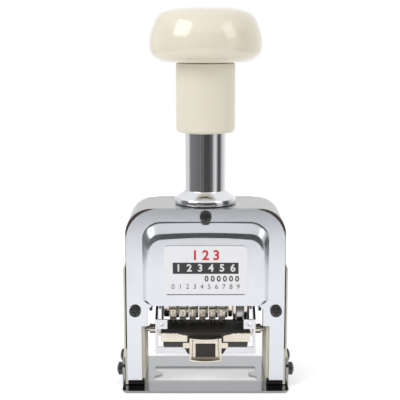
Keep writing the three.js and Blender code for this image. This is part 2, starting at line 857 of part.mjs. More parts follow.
/** A bar that hangs to the axle with a round lower end, as a [y, z] shape. */
function hangingBar(top) {
  const half = cheekWidth / 2;
  const shape = new THREE.Shape();
  shape.moveTo(cheekCentre + half, top);
  shape.lineTo(cheekCentre - half, top);
  shape.lineTo(cheekCentre - half, axleHeight);
  shape.absarc(cheekCentre, axleHeight, half, Math.PI, Math.PI * 2, false);
  return shape;
}

/** The carriage: a top plate with two cheeks and two outer guide plates. */
function carriageYoke() {
  const underside = carriageTop - carriageSheet;
  const cheek = prism(hangingBar(carriageTop), 'x', cheekInner, cheekInner + cheekSheet);
  const guideShape = new THREE.Shape();
  guideShape.moveTo(guideBack, carriageTop);
  guideShape.lineTo(guideFront, carriageTop);
  guideShape.lineTo(guideFront, guideBottom + guideEndRadius);
  guideShape.absarc(
    guideFront + guideEndRadius, guideBottom + guideEndRadius, guideEndRadius,
    Math.PI, Math.PI * 3 / 2, false,
  );
  guideShape.absarc(
    guideBack - guideEndRadius, guideBottom + guideEndRadius, guideEndRadius, -Math.PI / 2, 0, false,
  );
  const guide = prism(guideShape, 'x', guideInner, guideOuter);
  return cut(
    join(
      block(-guideOuter, guideOuter, guideFront, guideBack, underside, carriageTop),
      cheek, toLeft(cheek), guide, toLeft(guide),
    ),
    axleBore(),
    round('z', 0, 0, underside - overrun, carriageTop + overrun, rodRadius + fit),
  );
}

/** The hole for the axle through everything it carries. */
function axleBore() {
  return round('x', 0, axleHeight, -guideOuter - overrun, guideOuter + overrun, axleRadius + fit);
}

/** The wheel axle with a flat head at each end. */
function wheelAxle() {
  const end = guideOuter + fit;
  const head = round('x', 0, axleHeight, end, end + axleHeadHeight, axleHeadRadius);
  return join(round('x', 0, axleHeight, -end, end, axleRadius), head, toLeft(head));
}

/** The shoe that runs in the right side block's groove. */
function guideShoe() {
  return block(
    guideOuter + seat, blockInner + grooveDepth - running,
    grooveFront + running, grooveBack - running, shoeBottom, shoeTop,
  );
}

/** A plain ring on the axle. */
function axleRing(from, to, radius) {
  return cut(round('x', 0, axleHeight, from, to, radius, roundSides), axleBore());
}

/** A toothed ring on the axle; each tooth rises slowly and drops at once. */
function toothedRing(from, to, tip, root, teeth) {
  const pitch = 360 / teeth;
  const outline = Array.from({ length: teeth }, (_, i) => [
    polar(tip, i * pitch),
    polar(root, i * pitch + pitch * toothDropShare),
    polar((tip + root) / 2, (i + 0.5) * pitch),
  ]).flat();
  return prism(outline, 'x', from, to);
}

/** One number wheel: ten type blocks and a ratchet ring beside them. */
function numberWheel(x) {
  const pitch = 360 / typeCount;
  const face = Math.sqrt(wheelRadius ** 2 - typeBlockHalfHeight ** 2);
  const foot = Math.sqrt(typeRootRadius ** 2 - typeBlockHalfHeight ** 2);
  const corner = (distance, offset, turn) => [
    distance * Math.sin(turn) + offset * Math.cos(turn),
    axleHeight - distance * Math.cos(turn) + offset * Math.sin(turn),
  ];
  const outline = Array.from({ length: typeCount }, (_, i) => {
    const turn = rad(i * pitch);
    const half = typeBlockHalfHeight;
    return [
      corner(foot, -half, turn), corner(face, -half, turn),
      corner(face, half, turn), corner(foot, half, turn),
    ];
  }).flat();
  const side = x + typeWidth / 2;
  return cut(
    join(
      prism(outline, 'x', side - typeWidth, side),
      toothedRing(x, side + ratchetWidth, ratchetTipRadius, ratchetRootRadius, typeCount),
    ),
    axleBore(),
  );
}

/** The detent comb: a bar over the wheels with a curved finger for each ratchet. */
function detentComb() {
  const finger = (x) => join(
    prism(
      sector(ratchetTipRadius + running, fingerOuterRadius, -fingerEndDegrees, -180), 'x',
      x - fingerThickness / 2, x + fingerThickness / 2,
    ),
    block(
      x - fingerThickness / 2, x + fingerThickness / 2, -fingerStem, fingerStem,
      axleHeight + ratchetTipRadius + running * 2, axleHeight + combBottom + running,
    ),
  );
  const end = cheekInner - seat;
  const bar = block(-end, end, -combHalfDepth, combHalfDepth, axleHeight + combBottom, axleHeight + combTop);
  return join(bar, ...wheelX.map((x) => finger(x + gapCentre)));
}

/** The ink yoke: two arms with a cross bar, front flanges and the cam studs. */
function inkYoke() {
  const z = (height) => axleHeight + height;
  const armOutline = [
    [-inkHubRadius, z(0)], [flangeFront, z(flangeTop)], [flangeFront, z(flangeBottom)],
    [crossBarFront, z(crossBarTop)], [crossBarFront, z(crossBarBottom)], [crossBarBack, z(crossBarBottom)],
    [inkStudRadius * 2, z(-inkStudReach - inkStudRadius)], [inkHubRadius, z(0)],
  ];
  const arm = join(
    prism(armOutline, 'x', inkArmInner, inkArmOuter),
    round('x', 0, axleHeight, inkArmInner, inkArmOuter, inkHubRadius),
    round('x', 0, z(-inkStudReach), inkArmInner, studOuter, inkStudRadius, smallSides),
    cut(
      block(flangeInner, inkArmOuter, flangeFront, flangeFront + flangeSheet, z(flangeBottom), z(flangeTop)),
      round('y', flangeInner + flangeHoleInset, z((flangeTop + flangeBottom) / 2),
        flangeFront - overrun, flangeFront + overrun, flangeHoleRadius, smallSides),
    ),
  );
  const bar = block(
    -inkArmOuter, inkArmOuter, crossBarFront, crossBarBack, z(crossBarBottom), z(crossBarTop),
  );
  return cut(join(bar, arm, toLeft(arm)), axleBore());
}

/** The collar on the yoke's right stud. */
function studCollar() {
  const height = axleHeight - inkStudReach;
  return cut(
    round('x', 0, height, rollerInner, rollerOuter, rollerRadius),
    round('x', 0, height, rollerInner - overrun, rollerOuter + overrun, inkStudRadius + fit, smallSides),
  );
}

/** The ink tray: an open box with a lug at each end that slides along the arm. */
function inkTray() {
  const z = (height) => axleHeight + height;
  const body = block(-trayHalfWidth, trayHalfWidth, trayFront, trayBack, z(trayBottom), z(trayTop));
  const hollow = block(
    -trayHalfWidth + traySheet, trayHalfWidth - traySheet, trayFront + traySheet, trayBack - traySheet,
    z(trayBottom) + traySheet, z(trayTop) + overrun,
  );
  const lug = block(
    trayHalfWidth - traySheet / 2, inkArmInner - seat, lugFront, lugBack,
    z(trayBottom) + traySheet, z(trayBottom) + traySheet + lugHeight,
  );
  return join(cut(body, hollow), lug, toLeft(lug));
}

/** The felt ink pad that lies in the tray. */
function feltPad() {
  const inset = traySheet + seat;
  return block(
    -trayHalfWidth + inset, trayHalfWidth - inset, trayFront + inset, trayBack - inset,
    axleHeight + trayBottom + traySheet + seat, axleHeight + padTop,
  );
}

/** The tray's pull tab: an upright channel with a bowed lip at the top and at the foot. */
function pullTab() {
  const z = (height) => axleHeight + height;
  const back = trayFront - seat;
  const lip = new THREE.Shape();
  lip.moveTo(tabHalfWidth, back);
  lip.lineTo(-tabHalfWidth, back);
  lip.lineTo(-tabHalfWidth, tabFront + tabLip);
  lip.quadraticCurveTo(0, tabFront - tabLip, tabHalfWidth, tabFront + tabLip);
  const post = block(
    tabHalfWidth - tabSheet, tabHalfWidth, tabFront + tabLip, back, z(tabBottom), z(tabTop),
  );
  return join(
    block(-tabHalfWidth, tabHalfWidth, back - tabSheet, back, z(tabBottom), z(tabTop)),
    prism(lip, 'z', z(tabTop) - tabSheet, z(tabTop)),
    prism(lip, 'z', z(tabBottom), z(tabBottom) + tabSheet),
    post, toLeft(post),
  );
}

/** The spring clip behind the pull tab, with two petals that show below its wings. */
function tabSpring() {
  const z = (height) => axleHeight + height;
  const back = trayFront + tabSheet;
  const petal = [
    [wingHalfWidth - tabSheet, z(wingBottom)],
    [wingHalfWidth - tabSheet - petalInset, z(wingBottom) - petalDrop],
    [tabHalfWidth - tabSheet, z(wingBottom) - petalDrop], [tabHalfWidth - tabSheet, z(wingBottom)],
  ];
  const outline = [
    [wingHalfWidth, z(wingTop)], [wingHalfWidth, z(wingBottom)], ...petal,
    ...petal.map(([x, height]) => [-x, height]).reverse(),
    [-wingHalfWidth, z(wingBottom)], [-wingHalfWidth, z(wingTop)],
  ];
  return prism(outline, 'y', trayFront, back);
}

/** The pawl carrier: two arms behind the wheels, a bar, a pawl for each ratchet and the studs. */
function pawlCarrier() {
  const [studY, studZ] = polar(pawlStudReach, pawlStartDegrees);
  const first = pawlBarDegrees - pawlBarHalfDegrees;
  const last = pawlBarDegrees + pawlBarHalfDegrees;
  const armFirst = pawlStartDegrees - pawlArmMarginDegrees;
  const arm = join(
    prism(sector(axleRadius, pawlBarOuterRadius, armFirst, last), 'x', pawlArmInner, pawlArmOuter),
    round('x', 0, axleHeight, pawlArmInner, pawlArmOuter, inkHubRadius),
    round('x', studY, studZ, pawlArmInner, studOuter, pawlStudRadius, smallSides),
  );
  const foot = pawlBarInnerRadius + pawlThickness;
  const band = sector(pawlBarInnerRadius, pawlBarOuterRadius, first, last);
  const bar = prism(band, 'x', -pawlArmOuter, pawlArmOuter);
  const pawl = (x, tip) => {
    const outline = [
      polar(foot, first), polar(foot, pawlBarDegrees), polar(tip, last), polar(tip, last - pawlTipDegrees),
    ];
    return prism(outline, 'x', x - pawlThickness / 2, x + pawlThickness / 2);
  };
  const repeatX = wheelStackEnd + (cheekInner - wheelStackEnd) * repeatPawlShare;
  return cut(join(
    bar, arm, toLeft(arm),
    ...wheelX.map((x) => pawl(x + gapCentre, ratchetTipRadius + running)),
    pawl(repeatX, repeatTipRadius + running),
  ), axleBore());
}

/** Adds a piece for each side of the frame, left then right. */
function pair(name, make, finish) {
  return [finish(`${name}_left`, toLeft(make())), finish(`${name}_right`, make())];
}

/** A piece in a plain finish of a given colour. */
function dull(name, body, color) {
  return piece(name, body, color, dullRoughness, 0);
}

/** Every piece of the fixed frame. */
function framePieces() {
  const blackScrew = (name, body) => dull(name, body, black);
  const places = ['top', 'left', 'right'];
  const plateScrews = [['front', -1], ['back', 1]].flatMap(([face, side]) => (
    screwPlaces().map(([x, z], i) => blackScrew(`${face}_screw_${places[i]}`, plateScrew(x, z, side)))
  ));
  const earScrews = [['left', -1], ['right', 1]].flatMap(([name, side]) => [
    blackScrew(`ear_screw_${name}_front`, earScrew(side, earScrewFront)),
    blackScrew(`ear_screw_${name}_back`, earScrew(side, earScrewBack)),
  ]);
  return [
    plated('base_plate', basePlate()),
    ...pair('side_block', sideBlock, moulded),
    plated('frame_strap', frameStrap()),
    plated('front_plate', frontPlate()),
    plated('back_plate', backPlate()),
    plated('top_bridge', topBridge(), steel),
    plated('guide_sleeve', guideSleeve()),
    dull('label_plate', labelPlate(), labelWhite),
    ...plateScrews,
    ...earScrews,
  ];
}

/** Every piece that goes down with the knob and stays square to it. */
function plungerPieces() {
  const discFrom = wheelStackEnd + repeatCollarWidth + running;
  const repeatTo = discFrom + discWidth + running + repeatRatchetWidth;
  const stackEnd = cheekInner - running;
  return [
    moulded('palm_knob', palmKnob(), knobRoughness),
    moulded('knob_skirt', knobSkirt()),
    plated('plunger_rod', plungerRod(), steel),
    plated('rod_nut', rodNut(), steel),
    plated('return_spring', returnSpring(), steel),
    plated('carriage_yoke', carriageYoke()),
    plated('wheel_axle', wheelAxle(), steel),
    ...pair('guide_shoe', guideShoe, (name, body) => plated(name, body, brass)),
    plated('collar_left', axleRing(-stackEnd, wheelX[0] - typeWidth / 2 - running, collarRadius), nickel),
    plated('collar_right', axleRing(wheelStackEnd, wheelStackEnd + repeatCollarWidth, collarRadius), nickel),
    plated('repeat_disc', axleRing(discFrom, discFrom + discWidth, discRadius), nickel),
    plated('end_disc', axleRing(repeatTo + running, stackEnd, discRadius), nickel),
    plated('detent_comb', detentComb(), nickel),
  ];
}

/** The wheels and the ribbed ratchet, each free to turn on the axle. */
function wheelPieces() {
  const from = wheelStackEnd + repeatCollarWidth + running + discWidth + running;
  const ribbed = cut(
    toothedRing(from, from + repeatRatchetWidth, repeatTipRadius, repeatRootRadius, repeatTeeth), axleBore(),
  );
  return [
    ...wheelX.map((x, i) => plated(`number_wheel_${i + 1}`, numberWheel(x), nickel)),
    plated('repeat_ratchet', ribbed, steel),
  ];
}

/** The ink yoke, the tray that slides in it and the pawl carrier. */
function swingingPieces() {
  return [
    plated('ink_yoke', inkYoke()),
    ...pair('stud_collar', studCollar, (name, body) => plated(name, body, nickel)),
    plated('ink_tray', inkTray(), nickel),
    dull('felt_pad', feltPad(), black),
    plated('pull_tab', pullTab(), nickel),
    plated('tab_spring', tabSpring(), nickel),
    plated('pawl_carrier', pawlCarrier(), steel),
  ];
}

const machine = new THREE.Group();
machine.add(...framePieces(), ...plungerPieces(), ...wheelPieces(), ...swingingPieces());
console.log(`return_spring least gap ${springGap().toFixed(2)} mm`);

export default machine;
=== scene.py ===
import logging
import math
from dataclasses import dataclass
from enum import Enum
from functools import partialmethod
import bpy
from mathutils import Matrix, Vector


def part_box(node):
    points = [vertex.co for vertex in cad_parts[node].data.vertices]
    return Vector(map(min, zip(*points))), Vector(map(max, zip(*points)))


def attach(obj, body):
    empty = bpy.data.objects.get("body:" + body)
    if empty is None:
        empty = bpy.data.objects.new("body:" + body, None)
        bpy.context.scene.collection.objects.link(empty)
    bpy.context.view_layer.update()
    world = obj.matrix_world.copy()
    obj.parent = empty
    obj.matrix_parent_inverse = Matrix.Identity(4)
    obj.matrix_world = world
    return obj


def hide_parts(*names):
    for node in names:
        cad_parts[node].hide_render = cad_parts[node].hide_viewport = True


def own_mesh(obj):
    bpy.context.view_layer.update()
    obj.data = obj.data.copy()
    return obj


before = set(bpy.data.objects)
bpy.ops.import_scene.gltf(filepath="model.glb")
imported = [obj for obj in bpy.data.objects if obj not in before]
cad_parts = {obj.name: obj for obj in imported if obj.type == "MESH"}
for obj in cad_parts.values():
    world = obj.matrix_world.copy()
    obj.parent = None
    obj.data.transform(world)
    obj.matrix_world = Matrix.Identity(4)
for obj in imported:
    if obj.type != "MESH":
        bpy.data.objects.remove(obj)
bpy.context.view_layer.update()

from types import SimpleNamespace
from typing import Iterable, Sequence

import bmesh
import bpy
from mathutils import Vector

LOG = logging.getLogger("numbering_machine")
MM = 0.001
WELD = 1e-6
SHEET_ANGLE = 40.0

Object = bpy.types.Object
Point = tuple[float, float]
Triple = tuple[float, float, float]


class Axis(Enum):
    """The direction that an outline is pushed along, as the order of across, up and along in X, Y, Z."""

    X = (2, 0, 1)
    Y = (0, 2, 1)
    Z = (0, 1, 2)


class Stain(Enum):
    """Where a nickel piece is blackened: by ink, and on the tab also by painted shade."""

    WHEEL = "between the figures"
    TRAY = "along the pad's rim and behind the tab"
    # On the tab, the grooves and the line above the window are painted shade.
    TAB = "inside the tab's rims"
    SPRING = "on the petals"


# Node trees

class Value:
    """An output of a node that takes part in Python sums."""

    def __init__(self, tree: "Tree", socket: bpy.types.NodeSocket) -> None:
        """Keeps the tree and the output socket."""
        self.tree = tree
        self.socket = socket

    def apply(self, operation: str, other: object = 0.0, swapped: bool = False) -> "Value":
        """Adds one Math node.

        Args:
            operation: the Math node's operation.
            other: the second value or number.
            swapped: whether the other comes first.

        Returns:
            The node's result.
        """
        pair = (other, self) if swapped else (self, other)
        return self.tree.node("ShaderNodeMath", dict(enumerate(pair)), operation=operation)

    def output(self, name: int | str) -> "Value":
        """Another output of the same node."""
        return Value(self.tree, self.socket.node.outputs[name])

    def distance(self, place: float) -> "Value":
        """How far this value is from a place, without its sign."""
        return (self - place).apply("ABSOLUTE")

    __add__ = __radd__ = partialmethod(apply, "ADD")
    __mul__ = __rmul__ = partialmethod(apply, "MULTIPLY")
    __sub__ = partialmethod(apply, "SUBTRACT")
    __rsub__ = partialmethod(apply, "SUBTRACT", swapped=True)
    __truediv__ = partialmethod(apply, "DIVIDE")
    __gt__ = partialmethod(apply, "GREATER_THAN")
    __lt__ = partialmethod(apply, "LESS_THAN")
    maximum = partialmethod(apply, "MAXIMUM")


class Tree:
    """A node tree that is written with Python sums."""

    def __init__(self, tree: bpy.types.NodeTree) -> None:
        """Keeps the tree."""
        self.tree = tree

    def node(self, kind: str, inputs: dict | None = None, output: int | str = 0, **settings: object) -> Value:
        """Adds any node.

        Args:
            kind: the node's type.
            inputs: values or numbers by index or name; a list links each to a multiple input.
            output: which output is given back.
            **settings: properties set first; stops fills a ramp with (place, grey) pairs.

        Returns:
            That output.
        """
        node = self.tree.nodes.new(kind)
        for key, setting in settings.items():
            if key == "stops":
                self._fill_ramp(node.color_ramp, setting)
            else:
                setattr(node, key, setting)
        for key, given in (inputs or {}).items():
            for each in given if isinstance(given, list) else [given]:
                if isinstance(each, Value):
                    self.tree.links.new(each.socket, node.inputs[key])
                else:
                    node.inputs[key].default_value = each
        return Value(self, node.outputs[output] if len(node.outputs) else None)

    def _fill_ramp(self, ramp: bpy.types.ColorRamp, stops: Sequence[Point]) -> None:
        """Sets a ramp's stops."""
        while len(ramp.elements) < len(stops):
            ramp.elements.new(0.5)
        for element, (place, grey) in zip(ramp.elements, stops):
            element.position = place
            element.color = (grey, grey, grey, 1.0)


class Shader(Tree):
    """A material's or a world's node tree."""

    def __init__(self, name: str, world: bool = False) -> None:
        """Makes an empty material or world.

        Args:
            name: the material's name.
            world: whether it is a world.
        """
        self.material = (bpy.data.worlds if world else bpy.data.materials).new(name)
        self.material.use_nodes = True
        super().__init__(self.material.node_tree)
        self.tree.nodes.clear()

    def place(self) -> Value:
        """The Object coordinates."""
        return self.node("ShaderNodeTexCoord", output="Object")

    def noise(self, scale: float, stretch: Triple = (1, 1, 1), detail: float = 3.0) -> Value:
        """Cloudy noise from 0 to 1.

        Args:
            scale: cells per metre.
            stretch: the factor along each axis.
            detail: how many finer layers it has.

        Returns:
            The noise.
        """
        place = self.node("ShaderNodeVectorMath", {0: self.place(), 1: stretch}, operation="MULTIPLY")
        inputs = {"Vector": place, "Scale": scale, "Detail": detail}
        return self.node("ShaderNodeTexNoise", inputs, "Fac")

    def axis(self, index: int) -> Value:
        """One of the Object coordinates: 0 for X, 1 for Y, 2 for Z."""
        return self.node("ShaderNodeSeparateXYZ", {0: self.place()}, index)

    def radius(self, height: float) -> Value:
        """The distance from a line along X at a height, such as the wheels' axle."""
        y, z = self.axis(1), self.axis(2) - height
        return (y * y + z * z).apply("SQRT")

    def step(self, given: Value, start: float, end: float) -> Value:
        """A soft step from 0 at the start to 1 at the end, which may lie below the start."""
        inputs = {"Value": given, "From Min": min(start, end), "From Max": max(start, end)}
        rising = self.node("ShaderNodeMapRange", inputs, interpolation_type="SMOOTHSTEP")
        return rising if start < end else 1.0 - rising

    def above(self, given: Value, edge: float, soft: float) -> Value:
        """One above an edge and zero below it, soft by that much on both sides."""
        return self.step(given, edge - soft, edge + soft)

    def below(self, given: Value, edge: float, soft: float) -> Value:
        """One below an edge and zero above it, soft by that much on both sides."""
        return self.step(given, edge + soft, edge - soft)

    def blend(self, factor: object, first: Triple | Value, second: Triple | Value) -> Value:
        """Mixes two colours: factor 0 gives the first, 1 the second."""
        pair = [(*c, 1.0) if isinstance(c, tuple) else c for c in (first, second)]
        return self.node("ShaderNodeMix", {0: factor, 6: pair[0], 7: pair[1]}, 2, data_type="RGBA")

    def bump(self, height: Value, depth: float) -> Value:
        """A normal from a height of 0 to 1 and its depth in metres."""
        return self.node("ShaderNodeBump", {"Height": height, "Distance": depth}, "Normal")


# Finishes

@dataclass(frozen=True)
class Finish:
    """A material's name, its slot in the record and its two tones."""

    name: str
    slot: str
    colour: Triple
    shade: Triple

    def inputs(self, shader: Shader) -> dict[str, object]:
        """The surface's look, which each finish gives.

        Args:
            shader: the material's tree.

        Returns:
            The Principled BSDF's inputs by name, with _ for a space.
        """
        raise NotImplementedError

    def material(self) -> bpy.types.Material:
        """The finished material."""
        shader = Shader(self.name)
        named = {key.replace("_", " "): given for key, given in self.inputs(shader).items()}
        surface = shader.node("ShaderNodeBsdfPrincipled", named)
        shader.node("ShaderNodeOutputMaterial", {"Surface": surface})
        return shader.material


@dataclass(frozen=True)
class Metal(Finish):
    """Metal with a drawn grain, clouds and handling marks.

    Painted shade in a seam's gap between two sheets begins at its first distance from Y 0, full at its
    second.
    Painted shade on the front, for a darker reflection, begins at its first Y and is full at its second.
    """

    roughness: float
    grain: Triple
    grain_scale: float
    grain_depth: float
    roughness_spread: float
    seam: Point | None = None
    seam_shade_colour: Triple = (0.09, 0.065, 0.06)
    seam_shade_roughness: float = 0.55
    seam_shade_metallic: float = 0.1
    front_shade: Point | None = None
    front_shade_colour: Triple = (0.2, 0.2, 0.21)
    front_shade_share: float = 0.5
    clouds_scale: float = 90.0
    clouds_share: float = 0.6
    marks_scale: float = 420.0
    marks_stretch: Triple = (1.0, 0.3, 2.2)

    def inputs(self, shader: Shader) -> dict[str, object]:
        """The look, as the base class says."""
        clouds = shader.noise(self.clouds_scale)
        grain = shader.noise(self.grain_scale, self.grain, 4.0)
        marks = shader.noise(self.marks_scale, self.marks_stretch, 6.0)
        spread = self.roughness_spread
        roughness = self.roughness + (clouds - 0.5) * spread + (marks - 0.5) * spread
        share = self.clouds_share
        colour = shader.blend(clouds * share + grain * (1.0 - share), self.colour, self.shade)
        metallic = 1.0
        # Painted shade: towards the front the colour is mixed darker, standing in for a darker reflection.
        if self.front_shade:
            front = shader.step(shader.axis(1), *self.front_shade)
            colour = shader.blend(front * self.front_shade_share, colour, self.front_shade_colour)
        # Painted shade: the seam's gap is mixed to a dark, rough, barely metallic colour in place of its
        # shadow.
        if self.seam:
            dark = shader.step(shader.axis(1).distance(0.0), *self.seam)
            colour = shader.blend(dark, colour, self.seam_shade_colour)
            roughness = roughness + dark * self.seam_shade_roughness
            metallic = 1.0 - dark * (1.0 - self.seam_shade_metallic)
        return dict(
            Base_Color=colour,
            Metallic=metallic,
            Roughness=roughness,
            Normal=shader.bump(grain, self.grain_depth),
        )


@dataclass(frozen=True)
class Plastic(Finish):
    """Moulded plastic with a slight mottle and a fine surface."""

    roughness: float
    coat: float = 0.0
    mottle_scale: float = 55.0
    wear_scale: float = 260.0
    wear_stretch: Triple = (1.0, 1.0, 0.4)
    skin_scale: float = 1600.0
    skin_depth: float = 6e-6

    def inputs(self, shader: Shader) -> dict[str, object]:
        """The look, as the base class says."""
        mottle = shader.noise(self.mottle_scale)
        wear = shader.noise(self.wear_scale, self.wear_stretch, 5.0)
        return dict(
            Base_Color=shader.blend(mottle, self.colour, self.shade),
            Roughness=self.roughness + (wear - 0.5) * 0.08 + (mottle - 0.5) * 0.04,
            Subsurface_Weight=0.08,
            Subsurface_Radius=(0.004, 0.003, 0.002),
            Subsurface_Scale=0.5,
            Coat_Weight=self.coat,
            Coat_Roughness=0.04,
            Normal=shader.bump(shader.noise(self.skin_scale, detail=2.0), self.skin_depth),
        )


@dataclass(frozen=True)
class BlackOxide(Finish):
    """Blackened steel, a little brown where it catches the light."""

    def inputs(self, shader: Shader) -> dict[str, object]:
        """The look, as the base class says."""
        speckle = shader.noise(1500.0, detail=4.0)
        return dict(
            Base_Color=shader.blend(speckle, self.colour, self.shade),
            Metallic=0.65,
            Roughness=0.2 + speckle * 0.2,
            Normal=shader.bump(speckle, 12e-6),
        )


@dataclass(frozen=True)
class InkFelt(Finish):
    """Felt soaked with black ink: matt fibres with a wet sheen in places."""

    def inputs(self, shader: Shader) -> dict[str, object]:
        """The look, as the base class says."""
        fibres = shader.noise(2600.0, (1.0, 0.35, 1.0), 6.0)
        return dict(
            Base_Color=shader.blend(fibres, self.colour, self.shade),
            Roughness=0.95 - shader.noise(180.0) * 0.45,
            Normal=shader.bump(fibres, 90e-6),
        )


@dataclass(frozen=True)
class InkAndShadeNickel(Finish):
    """Warm nickel blackened in places by ink, and on the tab also by painted shade."""

    stain: Stain
    ink: Triple = (0.028, 0.024, 0.02)
    roughness: float = 0.22
    axle: float = 33.1 * MM
    face: float = 9.04 * MM
    dome_half: float = 7.3 * MM
    dome_edge: float = 0.5 * MM
    rim_line: float = 22.5 * MM
    rim_sag_from: float = 12.0 * MM
    rim_sag: float = 0.26
    stain_front: float = -4.0 * MM
    tab_window: Triple = (4.2 * MM, 12.6 * MM, 18.5 * MM)
    tab_groove: Point = (5.35 * MM, 0.13 * MM)
    tab_line: Triple = (20.0 * MM, 0.3 * MM, 5.4 * MM)
    petal_top: float = 16.1 * MM
    ragged: float = 0.9 * MM
    least: float = 0.04
    most: float = 0.4

    def mask(self, shader: Shader) -> Value:
        """How blackened each place is, from 0 to 1: by ink, and on the tab partly by painted shade.

        Args:
            shader: the material's tree.

        Returns:
            The mask.
        """
        z, across = shader.axis(2), shader.axis(0).distance(0.0)
        ragged = (shader.noise(700.0, detail=4.0) - 0.5) * self.ragged
        if self.stain is Stain.WHEEL:
            radius = shader.radius(self.axle) + ragged * 0.12
            worn = shader.step(shader.noise(800.0), 0.66, 0.5)
            low = shader.step(radius, self.face + 0.05 * MM, self.face - 0.01 * MM)
            return low * (self.least + worn * (self.most - self.least))
        if self.stain is Stain.TRAY:
            sag = (self.rim_sag_from - across).maximum(0.0) * self.rim_sag
            rim = shader.step(z + sag + ragged, self.rim_line - 0.1 * MM, self.rim_line + 0.25 * MM)
            dome = shader.step(across + ragged, self.dome_half + self.dome_edge, self.dome_half)
            return rim.maximum(dome) * shader.below(shader.axis(1), self.stain_front, MM)
        # The tab is blackened inside its rims; its grooves and the line above its window are painted shade.
        if self.stain is Stain.TAB:
            half, bottom, top = self.tab_window
            tall = shader.above(z, bottom, 0.1 * MM) * shader.below(z, top, 0.1 * MM)
            groove = (across.distance(self.tab_groove[0]) < self.tab_groove[1]) * (z > bottom)
            line = (z.distance(self.tab_line[0]) < self.tab_line[1]) * (across < self.tab_line[2])
            window = shader.below(across, half, 0.08 * MM) * tall
            return window.maximum(groove.maximum(line) * 0.85)
        return shader.below(z + ragged * 0.3, self.petal_top, 0.15 * MM)

    def inputs(self, shader: Shader) -> dict[str, object]:
        """The look, as the base class says."""
        mask = self.mask(shader)
        clouds = shader.noise(220.0)
        grain = shader.noise(1500.0, (0.4, 1.0, 1.0), 4.0)
        metal = shader.blend(clouds, self.colour, self.shade)
        return dict(
            Base_Color=shader.blend(mask, metal, self.ink),
            Metallic=1.0 - mask * 0.9,
            Roughness=self.roughness + (clouds - 0.5) * 0.1 + mask * (0.16 + grain * 0.2),
            Normal=shader.bump(grain, 7e-6),
        )


@dataclass(frozen=True)
class BlockPlastic(Finish):
    """The side blocks' cream plastic, with painted shade that blackens the foot under the plates' legs."""

    ink: Triple = (0.022, 0.02, 0.019)
    foot_top: float = 4.1 * MM
    foot_front: float = -12.4 * MM
    foot_side: float = 32.4 * MM
    ragged: float = 1.2 * MM

    def inputs(self, shader: Shader) -> dict[str, object]:
        """The look, as the base class says."""
        mottle = shader.noise(55.0)
        ragged = (shader.noise(380.0) - 0.5) * self.ragged
        # Painted shade: the block's foot under the plates' legs is mixed to near black, standing in for the
        # shade there.
        low = shader.below(shader.axis(2) + ragged, self.foot_top, 0.2 * MM)
        front = shader.below(shader.axis(1), self.foot_front, 0.3 * MM)
        foot = low * front * shader.below(shader.axis(0).distance(0.0), self.foot_side, 0.1 * MM)
        return dict(
            Base_Color=shader.blend(foot, shader.blend(mottle, self.colour, self.shade), self.ink),
            Roughness=0.48 - foot * 0.3 + (mottle - 0.5) * 0.06,
            Normal=shader.bump(shader.noise(1600.0, detail=2.0), 6e-6),
        )


@dataclass(frozen=True)
class LabelPrint(Finish):
    """The label's generic print: a black bar on white, for plain figures, with painted shade on its lower
    edge.
    """

    black: Triple = (0.035, 0.033, 0.033)
    bar_half: float = 13.4 * MM
    bar_share: float = 0.55
    bar_rise: float = 2.35 * MM
    shade_edge_line: float = 0.4 * MM
    shade_edge_colour: Triple = (0.1, 0.06, 0.05)

    def inputs(self, shader: Shader) -> dict[str, object]:
        """The look, as the base class says."""
        low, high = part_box("label_plate")
        x, z = shader.axis(0), shader.axis(2)
        across = x.distance((low[0] + high[0]) / 2) < self.bar_half
        bar = across * (z.distance(low[2] + (high[2] - low[2]) * self.bar_share) < self.bar_rise)
        fleck = shader.noise(1400.0)
        paper = shader.blend(fleck * 0.5, self.colour, self.shade)
        # Painted shade: the label's lowest rim is mixed to dark brown, as the shade along its lower edge.
        paper = shader.blend(z < low[2] + self.shade_edge_line, paper, self.shade_edge_colour)
        return dict(
            Base_Color=shader.blend(bar, paper, self.black),
            Roughness=0.32 + fleck * 0.1,
            Normal=shader.bump(fleck, 4e-6),
        )


NICKEL = ("warm_nickel", (0.8, 0.75, 0.66), (0.62, 0.55, 0.45))
